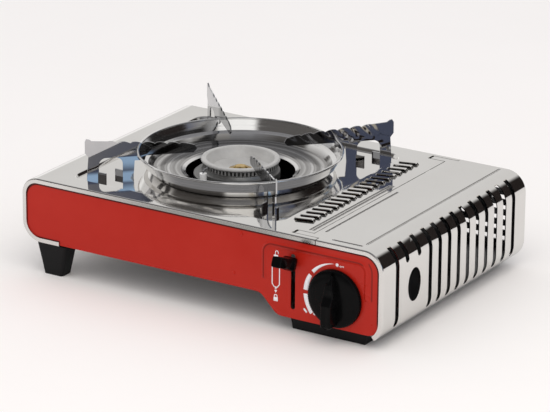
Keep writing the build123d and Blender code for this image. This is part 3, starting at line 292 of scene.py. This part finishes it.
def crescent(start, end, steps=28):
    """Dial band: its outer edge is a circle and its width is 4.6 sin(0.9 (a - 90)) millimetres at the angle a,
    which runs from start to end in degrees, counter-clockwise from the right."""
    degrees = np.linspace(start, end, steps)
    angle = np.radians(degrees)
    inner = DIAL_R - DIAL_BAND * np.sin(np.radians(0.9 * (degrees - 90.0)))
    radius = np.stack([np.full(steps, DIAL_R), inner])
    return ink_grid(DIAL_X + radius * np.cos(angle), DIAL_Z + radius * np.sin(angle)), grid_faces(2, steps)


def stripe(path, width):
    """A band of even width along a flat path: each path point, moved half the width to both sides."""
    path = np.asarray(path, float)
    run = np.gradient(path, axis=0)
    side = np.stack([-run[:, 1], run[:, 0]], axis=1) / np.linalg.norm(run, axis=1)[:, None]
    edges = np.stack([path + side * width / 2, path - side * width / 2])
    return ink_grid(edges[..., 0], edges[..., 1]), grid_faces(2, len(path))


def arc(x, z, radius, start, end, steps=12):
    """Points on a circle between two angles in degrees."""
    angle = np.radians(np.linspace(start, end, steps))
    return np.stack([x + radius * np.cos(angle), z + radius * np.sin(angle)], axis=1)


def padlock(x, z, lift, turn):
    """Lock sign: a square body and a bow, which is lifted and moved aside where the lock is open."""
    body = stripe([(x - 2.0, z), (x, z), (x + 2.0, z)], 3.4)
    first_end = [(x - 1.3 + turn, z + 1.6)]
    last_end = [(x + 1.3 + turn, z + 1.6 + lift)]
    bow = np.concatenate([first_end, arc(x + turn, z + 2.6 + lift, 1.3, 180, 0), last_end])
    return [body, stripe(bow, 0.7)]


cartridge = [
    (SIGN_X - 1.4, 35.0), (SIGN_X - 3.4, 37.6), (SIGN_X - 3.4, 56.0), (SIGN_X + 3.4, 56.0),
    (SIGN_X + 3.4, 37.6), (SIGN_X + 1.4, 35.0), (SIGN_X - 1.4, 35.0),
]
arrow_x = np.array([[SIGN_X - 1.4, SIGN_X + 1.4], [SIGN_X, SIGN_X]])
arrow_z = np.array([[32.4, 32.4], [30.1, 30.1]])
arrow = (ink_grid(arrow_x, arrow_z), grid_faces(2, 2))
word_f = np.array([(0.0, -0.65), (0.0, 0.0), (0.0, 0.65), (0.4, 0.65), (0.8, 0.65)])
word_bar = np.array([(0.0, 0.0), (0.3, 0.0), (0.6, 0.0)])
off_word = [arc(WORD_X, WORD_Z, 0.55, 0, 360, 16)]
for letter_x in (1.15, 2.4):
    off_word += [word_f + (WORD_X + letter_x, WORD_Z), word_bar + (WORD_X + letter_x, WORD_Z)]
prints = [
    crescent(91, 138), crescent(146, 177), crescent(184, 220),
    stripe(arc(129.9, 65.0, 0.7, 0, 360, 20), 1.4),
    stripe([(99.9, 22.4), (101.2, 20.9), (102.7, 19.4)], 1.7),
    stripe([(108.6, 20.2), (109.6, 19.6), (110.6, 19.1)], 1.5),
    stripe(cartridge, 0.9),
    stripe(arc(SIGN_X, 33.8, 0.6, 0, 360, 14), 0.5),
    arrow,
]
prints += [stripe(path, 0.34) for path in off_word]
prints += padlock(SIGN_X, 60.6, 1.2, 0.8)
prints += padlock(SIGN_X, 24.8, 0.0, 0.0)
panel_prints = new_piece("panel_prints", *join(prints), ink)
film = panel_prints.modifiers.new("film", "SOLIDIFY")
film.thickness = INK_THICK
film.offset = -1.0
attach(panel_prints, "case")

# Polished top plate and cartridge cover.
# Bright-rolled stainless steel, bent over the ends and rimmed; it mirrors the room with faint long roll marks.
# The cover swings on two tongues that reach under the plate's edge.
STAINLESS_DARK = (0.79, 0.775, 0.755, 1.0)
STAINLESS_LIGHT = (0.83, 0.82, 0.80, 1.0)
CASE_MIDDLE_Y = 0.013
RUBBED_EDGE = (0.1166, 0.1173)
RUBBED_SHARE = 0.16
BEAD_HALF = 0.0013
BEAD_DEPTH = 0.0006

# Pressed beads: first and last X, first and last Y of each middle line
BEADS = (
    (0.1496, 0.1496, -0.0909, 0.1249), (0.1221, 0.1479, -0.0966, -0.0966), (0.1077, 0.1077, -0.0833, 0.0283),
    (0.0946, 0.0946, -0.0862, 0.0392), (0.0976, 0.0976, -0.0862, 0.0392),
)

# Roll marks: noise drawn out along one direction, as a roughness and as a tiny height
roll_marks, entry, leave = new_effect("roll marks", {"Low": 0.05, "High": 0.1}, ["Roughness", "Height"])
drawn = add_node(roll_marks, "Mapping", {"Vector": entry["Place"], "Scale": (14.0, 1500.0, 1500.0)})
line_inputs = {"Vector": drawn.outputs["Vector"], "Scale": 1.0, "Detail": 3.0}
lines = add_node(roll_marks, "TexNoise", line_inputs).outputs["Fac"]
haze = add_node(roll_marks, "TexNoise", {"Vector": entry["Place"], "Scale": 30.0, "Detail": 3.0}).outputs["Fac"]
rough = ramp(roll_marks, product(roll_marks, lines, haze), 0.12, 0.42, entry["Low"], entry["High"])
roll_marks.links.new(rough, leave["Roughness"])
roll_marks.links.new(lines, leave["Height"])

stainless, tree, shader, place = new_finish("polished stainless sheet", Metallic=1.0)
marks = add_effect(tree, roll_marks, place, Low=0.035, High=0.085)
spot = add_node(tree, "SeparateXYZ", {0: place}).outputs
from_middle = reckon(tree, "ABSOLUTE", reckon(tree, "SUBTRACT", spot["Y"], CASE_MIDDLE_Y))
rubbed = product(tree, ramp(tree, from_middle, *RUBBED_EDGE), RUBBED_SHARE)
plan = add_node(tree, "CombineXYZ", {"X": spot["X"], "Z": spot["Y"]}).outputs[0]
nearest = 1.0
for left, right, low, high in BEADS:
    bead = add_effect(
        tree, round_frame, plan, Left=left - BEAD_HALF, Right=right + BEAD_HALF, Low=low - BEAD_HALF,
        High=high + BEAD_HALF, Corner=BEAD_HALF,
    )
    nearest = reckon(tree, "MINIMUM", nearest, bead["Distance"])
hollow = ramp(tree, nearest, -BEAD_HALF, 0.0, interpolation_type="SMOOTHSTEP")
rolled = relief(tree, marks["Height"], 0.03, 0.0001)
feed(
    tree, shader, Roughness=reckon(tree, "ADD", marks["Roughness"], rubbed),
    Base_Color=cloudy_colour(tree, place, 12.0, STAINLESS_DARK, STAINLESS_LIGHT),
    Normal=relief(tree, hollow, 1.0, BEAD_DEPTH, Normal=rolled),
)
dress(stainless, "case_wrap", "lid")

# Feet, lever cap and other black mouldings.
# Hard black plastic with a fine spark-eroded grain, screwed or pushed on.
# Rubbing leaves the grain a little glossier in patches.
moulded, entry, leave = new_effect("moulded grain", {"Size": 2200.0}, ["Height"])
grain = add_node(moulded, "TexNoise", {"Vector": entry["Place"], "Scale": entry["Size"], "Detail": 2.0})
moulded.links.new(grain.outputs["Fac"], leave["Height"])


def black_moulding(name, low, high, depth, shine, black):
    """Black plastic finish: its gloss wanders between two roughness values and its colour from the given black
    to half as much more, with a grain of the given depth."""
    finish, tree, shader, place = new_finish(name, Specular_IOR_Level=shine)
    patch = add_effect(tree, clouds, place, Size=120.0, Low=low, High=high)
    dark = (black, black, 1.08 * black, 1.0)
    light = (1.5 * black, 1.5 * black, 1.6 * black, 1.0)
    grain = add_effect(tree, moulded, place, Size=2400.0)
    feed(
        tree, shader, Roughness=patch["Value"], Base_Color=blend(tree, patch["Mask"], dark, light),
        Normal=relief(tree, grain["Height"], depth, 0.0002),
    )
    return finish


foot_plastic = black_moulding("black foot plastic", 0.42, 0.58, 0.25, 0.2, 0.0045)
knob_plastic = black_moulding("black knob plastic", 0.14, 0.24, 0.05, 0.075, 0.0024)
dress(foot_plastic, "foot_front_left", "foot_front_right", "foot_rear_left", "foot_rear_right")
dress(knob_plastic, "lever_cap", "piezo_igniter", "knob")

# Control knob.
# Black moulded plastic: a round skirt with a ribbed edge and a pointed grip with a squared tail.
# It is pushed on the valve stem and turns with it.
KNOB_X, KNOB_Z = 129.1, 37.3
KNOB_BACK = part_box("knob")[1].y / MM
RIB_COUNT = 84
RIB_DEPTH = 0.35
SWELL, SWELL_REACH = 2.4, 4.5

# Skirt profile: radius, height over the back, share of the ribs
SKIRT = np.array([
    (3.2, 0.0, 0.0), (23.8, 0.0, 0.0), (24.1, 0.3, 0.0), (24.1, 1.0, 0.0), (24.1, 1.2, 1.0), (24.1, 2.2, 1.0),
    (23.7, 3.0, 1.0), (22.9, 3.6, 0.6), (21.4, 4.1, 0.0), (17.4, 4.7, 0.0), (9.0, 5.2, 0.0), (1.0, 5.3, 0.0),
])


def knob_skirt(columns=RIB_COUNT * 6):
    """Turned surface of the radius and height of each profile row about the knob's axis. Ribs of 0.35 mm take
    their row's share off the radius: r - 0.35 share (1 + cos(84 a)) / 2 at the angle a."""
    angle = np.linspace(0.0, 2.0 * np.pi, columns, endpoint=False)[None, :]
    radius = SKIRT[:, :1] - RIB_DEPTH / 2 * SKIRT[:, 2:] * (1.0 + np.cos(RIB_COUNT * angle))
    height = SKIRT[:, 1:2] + 0.0 * angle
    points = [KNOB_X + radius * np.cos(angle), KNOB_BACK - height, KNOB_Z + radius * np.sin(angle)]
    return np.stack(points, axis=-1) * MM, grid_faces(len(SKIRT), columns, closed=True)


# Grip over its height: height from the axis, half width, front
GRIP = np.array([
    (-21.9, 3.4, 14.6), (-20.0, 4.4, 15.6), (-17.0, 4.6, 16.0), (-2.2, 4.6, 16.0), (0.6, 4.6, 14.6),
    (3.6, 4.6, 12.4), (6.0, 4.5, 12.0), (10.0, 3.9, 11.8), (14.4, 3.0, 11.0), (18.6, 1.8, 8.2),
    (21.4, 0.8, 6.0), (22.7, 0.0, 5.2),
])


def knob_grip(columns=200):
    """Loft of a drop-shaped outline. Its half width and front come from the grip's table; its rows go up the
    walls, which swell by 2.4 mm at the foot beside the axis, over a rounded edge, and the front sinks toward
    the middle."""
    turn = np.linspace(0.0, 2.0 * np.pi, columns, endpoint=False)
    low, high = GRIP[0, 0], GRIP[-1, 0]
    z = (low + high) / 2 + (high - low) / 2 * np.cos(turn)
    half = np.interp(z, GRIP[:, 0], GRIP[:, 1]) * np.sqrt(np.clip((z - low) / 1.2, 0.0, 1.0))
    front = np.interp(z, GRIP[:, 0], GRIP[:, 2])
    swell = SWELL * np.exp(-((z / SWELL_REACH) ** 2))
    side = -np.where(np.sin(turn) < 0.0, -1.0, 1.0)
    widths = [half + swell, half + 0.4 * swell, half, half - 0.25, half - 0.9, 0.5 * half, 0.0 * half]
    heights = [0.0 * z + 3.0, 0.0 * z + 6.4, front - 1.0, front - 0.3, front, front - 0.35, front - 0.5]
    x = KNOB_X + side * np.clip(np.stack(widths), 0.0, None)
    y = KNOB_BACK - np.stack(heights)
    upright = np.broadcast_to(KNOB_Z + z, x.shape)
    return np.stack([x, y, upright], axis=-1) * MM, grid_faces(len(widths), columns, closed=True)


knob_shell = new_piece("knob_shell", *join([knob_skirt(), knob_grip()]), knob_plastic)
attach(knob_shell, "control")
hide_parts("knob")

# Lever cap.
# Black moulded sleeve pushed on the lock lever's arm, with a thicker collar next to the panel.
PIVOT = np.array([89.5, -69.5, 45.0])
LEVER_RISE = math.radians(20.5)
SQUARENESS = 0.35
CAP_ROWS = np.array([
    (40.9, 5.4, 5.0), (40.9, 6.0, 5.6), (43.6, 6.0, 5.6), (44.6, 5.4, 5.2), (48.0, 4.5, 4.5), (52.0, 4.4, 4.4),
    (62.6, 4.4, 4.4), (63.2, 4.1, 4.1), (63.3, 3.4, 3.4), (63.3, 0.0, 0.0),
])


def lever_sleeve(columns=64):
    """Loft along the lever's arm: each row is a distance from the pivot with a half width and half height, and
    its outline is the rounded square |cos a|^0.35, |sin a|^0.35."""
    angle = np.linspace(0.0, 2.0 * np.pi, columns, endpoint=False)[None, :]
    across = CAP_ROWS[:, 1:2] * np.sign(np.cos(angle)) * np.abs(np.cos(angle)) ** SQUARENESS
    upward = CAP_ROWS[:, 2:] * np.sign(np.sin(angle)) * np.abs(np.sin(angle)) ** SQUARENESS
    along = CAP_ROWS[:, :1] + 0.0 * angle
    y = PIVOT[1] - along * math.cos(LEVER_RISE) + upward * math.sin(LEVER_RISE)
    z = PIVOT[2] + along * math.sin(LEVER_RISE) + upward * math.cos(LEVER_RISE)
    return np.stack([PIVOT[0] + across, y, z], axis=-1) * MM, grid_faces(len(CAP_ROWS), columns, closed=True)


lever_grip = new_piece("lever_grip", *lever_sleeve(), knob_plastic)
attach(lever_grip, "lever")
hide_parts("lever_cap")

# Seal and spark lead.
# Black rubber, extruded or moulded, dull with a bloom.
RUBBER_DARK = (0.016, 0.016, 0.016, 1.0)
RUBBER_LIGHT = (0.03, 0.03, 0.031, 1.0)
rubber, tree, shader, place = new_finish("black rubber", Specular_IOR_Level=0.3)
patch = add_effect(tree, clouds, place, Size=300.0, Low=0.6, High=0.8)
feed(tree, shader, Roughness=patch["Value"], Base_Color=blend(tree, patch["Mask"], RUBBER_DARK, RUBBER_LIGHT))
dress(rubber, "inlet_seal", "ignition_lead")

# Screws, pins, lever arm, valve stem and spark wire.
# Plain bright steel, turned or stamped, with fine tool marks.
STEEL_DARK = (0.40, 0.40, 0.41, 1.0)
STEEL_LIGHT = (0.52, 0.52, 0.53, 1.0)
steel, tree, shader, place = new_finish("plain steel", Metallic=1.0)
marks = add_effect(tree, roll_marks, place, Low=0.2, High=0.34)
shade = cloudy_colour(tree, place, 150.0, STEEL_DARK, STEEL_LIGHT)
feed(tree, shader, Roughness=marks["Roughness"], Base_Color=shade)
dress(
    steel, "hinge_pins", "foot_screws", "burner_screws", "valve_stem", "electrode", "lock_lever", "lever_pin",
    "slider_guides",
)

# Burner cup, burner head and regulator block.
# Die-cast aluminium, sandy from the mould; the head's lip and bowl are turned bright after casting.
BURNER = (-0.035, 0.015)
CAST_DARK = (0.30, 0.30, 0.295, 1.0)
CAST_LIGHT = (0.40, 0.40, 0.395, 1.0)
TURNED_DARK = (0.57, 0.56, 0.54, 1.0)
TURNED_LIGHT = (0.64, 0.63, 0.61, 1.0)
RING_BAND_DARK = (0.02, 0.019, 0.018, 1.0)
RING_BAND_INSIDE = (0.0284, 0.0286)
RING_BAND_OUTSIDE = (0.0326, 0.0302)
RING_BAND_TOP = (0.0878, 0.0874)

# Turning marks: rings round the burner axis, as a roughness and as a tiny height
turned, entry, leave = new_effect(
    "turning marks", {"Fine": 900.0, "Low": 0.1, "High": 0.2}, ["Roughness", "Height", "Radius", "Rise"],
)
centred = add_node(turned, "Mapping", {"Vector": entry["Place"], "Location": (-BURNER[0], -BURNER[1], 0.0)})
parts = add_node(turned, "SeparateXYZ", {0: centred.outputs["Vector"]}).outputs
flat = add_node(turned, "CombineXYZ", {"X": parts["X"], "Y": parts["Y"]}).outputs["Vector"]
radius = add_node(turned, "VectorMath", {0: flat}, operation="LENGTH").outputs["Value"]
ring_inputs = {"W": reckon(turned, "ADD", radius, parts["Z"]), "Scale": entry["Fine"], "Detail": 4.0}
rings = add_node(turned, "TexNoise", ring_inputs, noise_dimensions="1D").outputs["Fac"]
turned.links.new(ramp(turned, rings, 0.3, 0.7, entry["Low"], entry["High"]), leave["Roughness"])
turned.links.new(rings, leave["Height"])
turned.links.new(radius, leave["Radius"])
turned.links.new(parts["Z"], leave["Rise"])

cast, tree, shader, place = new_finish("cast aluminium", Metallic=1.0)
patch = add_effect(tree, clouds, place, Size=160.0, Low=0.36, High=0.52)
grain = add_effect(tree, moulded, place, Size=1300.0)
feed(
    tree, shader, Roughness=patch["Value"], Base_Color=blend(tree, patch["Mask"], CAST_DARK, CAST_LIGHT),
    Normal=relief(tree, grain["Height"], 0.2, 0.0002),
)
dress(cast, "burner_base", "regulator_body")

turned_head, tree, shader, place = new_finish("turned aluminium", Metallic=0.4)
marks = add_effect(tree, turned, place, Fine=1400.0, Low=0.44, High=0.56)
shade = cloudy_colour(tree, place, 110.0, TURNED_DARK, TURNED_LIGHT)
# The ring's wall is darker in a band below its top
ring_band = product(
    tree, ramp(tree, marks["Radius"], *RING_BAND_INSIDE), ramp(tree, marks["Radius"], *RING_BAND_OUTSIDE),
    ramp(tree, marks["Rise"], *RING_BAND_TOP),
)
feed(
    tree, shader, Roughness=marks["Roughness"], Base_Color=blend(tree, ring_band, shade, RING_BAND_DARK),
    Normal=relief(tree, marks["Height"], 0.1, 0.0001),
)
dress(turned_head, "burner_ring")

# Brass centre, jet and gas pipe.
# Turned brass, a little browned by heat.
BRASS_DARK = (0.55, 0.36, 0.12, 1.0)
BRASS_LIGHT = (0.74, 0.54, 0.22, 1.0)
brass, tree, shader, place = new_finish("turned brass", Metallic=1.0)
marks = add_effect(tree, turned, place, Fine=1600.0, Low=0.2, High=0.32)
shade = cloudy_colour(tree, place, 260.0, BRASS_DARK, BRASS_LIGHT)
feed(tree, shader, Roughness=marks["Roughness"], Base_Color=shade)
dress(brass, "burner_cap", "jet", "gas_pipe")

# Spark sleeve.
# White glazed ceramic tube, cemented in the lug of the cup.
GLAZE_DARK = (0.93, 0.92, 0.90, 1.0)
GLAZE_LIGHT = (0.97, 0.965, 0.95, 1.0)
glaze, tree, shader, place = new_finish(
    "white glazed ceramic", Roughness=0.2, Coat_Weight=0.4, Coat_Roughness=0.05,
)
feed(tree, shader, Base_Color=cloudy_colour(tree, place, 250.0, GLAZE_DARK, GLAZE_LIGHT))
dress(glaze, "electrode_insulator")

# Lift-off pan support: drip dish and four toothed blades.
# Bright nickelled steel: the dish is spun and keeps fine turning rings, the blades are cut from mirror sheet.
# It rests loose in the recess of the top plate.
DISH_DARK = (0.82, 0.815, 0.81, 1.0)
DISH_LIGHT = (0.89, 0.885, 0.88, 1.0)
DISH_PAINTED_REFLECTION = (0.25, 0.243, 0.236, 1.0)
DISH_REFLECTION_OUTSIDE = (0.0765, 0.0715)
DISH_REFLECTION_INSIDE = (0.0480, 0.0488)
BLADE_DARK = (0.52, 0.525, 0.54, 1.0)
BLADE_LIGHT = (0.60, 0.60, 0.61, 1.0)
BLADE_PAINTED_REFLECTION = (0.17, 0.17, 0.175, 1.0)
BLADE_REFLECTION_EDGE = (0.086, 0.074)
RIB_PITCH = 0.0103
RIB_SLANT = 0.9
RIB_RISE = 0.0001
LEG_LEAN = (0.075, 0.075, 0.0)
FACE_TURN = -0.35

# Painted dark reflection: the dish is darkened in streaks between its inner edge and its outer wall
spun_dish, tree, shader, place = new_finish("spun bright steel", Metallic=1.0)
marks = add_effect(tree, turned, place, Fine=420.0, Low=0.07, High=0.16)
shade = cloudy_colour(tree, place, 35.0, DISH_DARK, DISH_LIGHT)
streak_inputs = {"W": marks["Radius"], "Scale": 210.0, "Detail": 2.0}
streaks = add_node(tree, "TexNoise", streak_inputs, noise_dimensions="1D").outputs[0]
dark_reflection = product(
    tree, ramp(tree, marks["Radius"], *DISH_REFLECTION_OUTSIDE), ramp(tree, streaks, 0.1, 0.62),
    ramp(tree, marks["Radius"], *DISH_REFLECTION_INSIDE),
)
feed(
    tree, shader, Roughness=marks["Roughness"], Base_Color=blend(tree, dark_reflection, shade, DISH_PAINTED_REFLECTION),
    Normal=relief(tree, marks["Height"], 0.07, 0.0002),
)
dress(spun_dish, "trivet_dish")

# Painted dark reflection: the blades are darkened at their inner ends
mirror_blade, tree, shader, place = new_finish("mirror bright blade", Metallic=1.0)
marks = add_effect(tree, roll_marks, place, Low=0.02, High=0.06)
shade = cloudy_colour(tree, place, 30.0, BLADE_DARK, BLADE_LIGHT)
centre = add_effect(tree, turned, place)
radius, rise = centre["Radius"], centre["Rise"]
painted_reflection = blend(tree, ramp(tree, radius, *BLADE_REFLECTION_EDGE), shade, BLADE_PAINTED_REFLECTION)

# By shading alone, the right-hand blades are ribbed and turned a little, and a left-hand leg leans
spot = add_node(tree, "SeparateXYZ", {0: place}).outputs
across = reckon(tree, "ADD", radius, product(tree, rise, RIB_SLANT))
wave = reckon(tree, "COSINE", product(tree, across, 2.0 * math.pi / RIB_PITCH))
face = product(tree, ramp(tree, rise, 0.098, 0.108), ramp(tree, radius, 0.121, 0.114))
right_face = product(tree, face, ramp(tree, spot["X"], -0.03, 0.0))
ribbed = relief(tree, product(tree, wave, right_face), 1.0, RIB_RISE)
leg = product(tree, ramp(tree, rise, 0.0985, 0.0965), ramp(tree, spot["X"], -0.05, -0.06))
inner = product(tree, ramp(tree, radius, 0.112, 0.106), ramp(tree, rise, 0.082, 0.095, 0.4, 1.0))
glint = reckon(tree, "MAXIMUM", inner, ramp(tree, rise, 0.090, 0.082))
amount = reckon(tree, "ADD", product(tree, leg, glint), product(tree, right_face, FACE_TURN))
tilt = add_node(tree, "VectorMath", {0: LEG_LEAN, "Scale": amount}, operation="SCALE").outputs[0]
leaned = add_node(tree, "VectorMath", {0: ribbed, 1: tilt}, operation="ADD").outputs[0]
facing = add_node(tree, "VectorMath", {0: leaned}, operation="NORMALIZE").outputs[0]
feed(tree, shader, Roughness=marks["Roughness"], Base_Color=painted_reflection, Normal=facing)
dress(mirror_blade, *[f"trivet_fin_{number}" for number in range(1, 5)])

# Floor, studio and camera.
# A pale seamless table, an even sky for the diffuse light, and a room of soft panels and
# dark gaps for the polished steel to mirror.
FLOOR_HALF = 5.0
TABLE_DARK = (0.965, 0.93, 0.90, 1.0)
TABLE_LIGHT = (0.98, 0.945, 0.915, 1.0)
TABLE_MIRRORED = (0.30, 0.30, 0.285, 1.0)
MIRRORED_SHARE = 0.2
floor_mesh = bpy.data.meshes.new("floor")
floor_corners = [
    (-FLOOR_HALF, -FLOOR_HALF, 0), (FLOOR_HALF, -FLOOR_HALF, 0), (FLOOR_HALF, FLOOR_HALF, 0),
    (-FLOOR_HALF, FLOOR_HALF, 0),
]
floor_mesh.from_pydata(floor_corners, [], [(0, 1, 2, 3)])
floor = bpy.data.objects.new("floor", floor_mesh)
bpy.context.scene.collection.objects.link(floor)

# Mirror images show the table darker than it is, most of all in a patch before the stove's left half
paper, tree, shader, place = new_finish("pale table", Roughness=0.9, Specular_IOR_Level=0.0)
shade = cloudy_colour(tree, place, 3.0, TABLE_DARK, TABLE_LIGHT)
spot = add_node(tree, "SeparateXYZ", {0: place}).outputs
before_left = product(
    tree, ramp(tree, spot["Y"], -0.16, -0.24), ramp(tree, spot["X"], -0.27, -0.17),
    ramp(tree, spot["X"], -0.005, -0.03),
)
glossy = tree.nodes.new("ShaderNodeLightPath").outputs["Is Glossy Ray"]
dimmed = product(tree, ramp(tree, before_left, 0.0, 1.0, MIRRORED_SHARE, 1.0), glossy)
feed(tree, shader, Base_Color=blend(tree, dimmed, shade, TABLE_MIRRORED))
floor_mesh.materials.append(paper)

# Panels of the studio: turns from the front to the right and rises in degrees, edge softness, colour
ALL_ROUND = (-180, 180)
STUDIO_PANELS = (
    (ALL_ROUND, (44, 120), 16, (0.24, 0.24, 0.25)),
    ((46, 166), (-12, 38), 14, (0.020, 0.016, 0.015)),
    ((44, 100), (-8, 29), 8, (0.105, 0.120, 0.18)),
    ((50, 108), (28, 60), 6, (0.30, 0.29, 0.28)),
    ((42, 54), (5, 27), 6, (0.62, 0.57, 0.48)),
    ((64, 82), (14, 26), 6, (0.50, 0.72, 1.0)),
    ((38, 62), (29, 41), 6, (0.95, 0.94, 0.92)),
    ((12, 44), (-12, 40), 8, (1.0, 0.99, 0.97)),
    ((-70, 12), (-5, 50), 10, (0.10, 0.094, 0.09)),
    ((-172, -118), (-2, 12), 5, (1.0, 0.99, 0.98)),
)
ROOM = (0.72, 0.71, 0.70, 1.0)
SKY = (0.80, 0.81, 0.84, 1.0)
world = bpy.data.worlds.new("studio")
bpy.context.scene.world = world
world.use_nodes = True
tree = world.node_tree
direction = tree.nodes.new("ShaderNodeTexCoord").outputs["Generated"]
parts = add_node(tree, "SeparateXYZ", {0: direction}).outputs
toward = product(tree, parts["Y"], -1.0)
azimuth = reckon(tree, "DEGREES", reckon(tree, "ARCTAN2", parts["X"], toward))
elevation = reckon(tree, "DEGREES", reckon(tree, "ARCSINE", parts["Z"]))


def soft_span(tree, degrees, span, soft):
    """Two masks, a smooth step up at the span's start and one down at its end, each over a soft edge."""
    steps = []
    for middle, low, high in ((span[0], 0.0, 1.0), (span[1], 1.0, 0.0)):
        start, end = middle - soft / 2, middle + soft / 2
        steps.append(ramp(tree, degrees, start, end, low, high, interpolation_type="SMOOTHSTEP"))
    return steps


room = ROOM
for turns, rises, soft, colour in STUDIO_PANELS:
    masks = soft_span(tree, elevation, rises, soft)
    if turns != ALL_ROUND:
        masks += soft_span(tree, azimuth, turns, soft)
    room = blend(tree, product(tree, *masks), room, (*colour, 1.0))
ray = tree.nodes.new("ShaderNodeLightPath").outputs
seen = reckon(tree, "ADD", ray["Is Camera Ray"], ray["Is Glossy Ray"])
tree.links.new(blend(tree, seen, SKY, room), tree.nodes["Background"].inputs["Color"])

key_light = bpy.data.lights.new("key", "AREA")
key_light.shape = "RECTANGLE"
key_light.size = 2.4
key_light.size_y = 1.8
key_light.energy = 15.0
key_light.color = (1.0, 0.95, 0.89)
key = bpy.data.objects.new("key", key_light)
bpy.context.scene.collection.objects.link(key)
key.location = (0.7, -0.75, 1.9)
key.visible_glossy = False
key.rotation_euler = (Vector((0.0, 0.0, 0.05)) - key.location).to_track_quat("-Z", "Y").to_euler()

# The lens stands about three metres off, as in a product shot, and is aimed so that the stove sits in the frame
IMAGE_WIDTH = 550.0
FOCUS = 3500.0
AZIMUTH = math.radians(31.776)
ELEVATION = math.radians(20.535)
ROLL = math.radians(0.457)
DISTANCE = 2.9172
STOVE_MIDDLE = Vector((0.0, CASE_MIDDLE_Y, 0.0))
MIDDLE_OFFSET = (-0.72, -61.41)
back = Vector((
    math.sin(AZIMUTH) * math.cos(ELEVATION), -math.cos(AZIMUTH) * math.cos(ELEVATION), math.sin(ELEVATION),
))
right = Vector((0, 0, 1)).cross(back).normalized()
up = back.cross(right)
rolled_right = math.cos(ROLL) * right + math.sin(ROLL) * up
rolled_up = math.cos(ROLL) * up - math.sin(ROLL) * right
level = Matrix((rolled_right, rolled_up, back)).transposed()
toward_middle = Vector((MIDDLE_OFFSET[0] / FOCUS, MIDDLE_OFFSET[1] / FOCUS, -1.0))
aim = toward_middle.rotation_difference(Vector((0, 0, -1))).to_matrix()
lens = bpy.data.cameras.new("camera")
lens.sensor_width = 36.0
lens.lens = FOCUS / IMAGE_WIDTH * lens.sensor_width
lens.clip_end = 50.0
camera = bpy.data.objects.new("camera", lens)
bpy.context.scene.collection.objects.link(camera)
camera.matrix_world = Matrix.Translation(STOVE_MIDDLE + back * DISTANCE) @ (level @ aim).to_4x4()
bpy.context.scene.camera = camera
bpy.context.scene.view_settings.view_transform = "Standard"
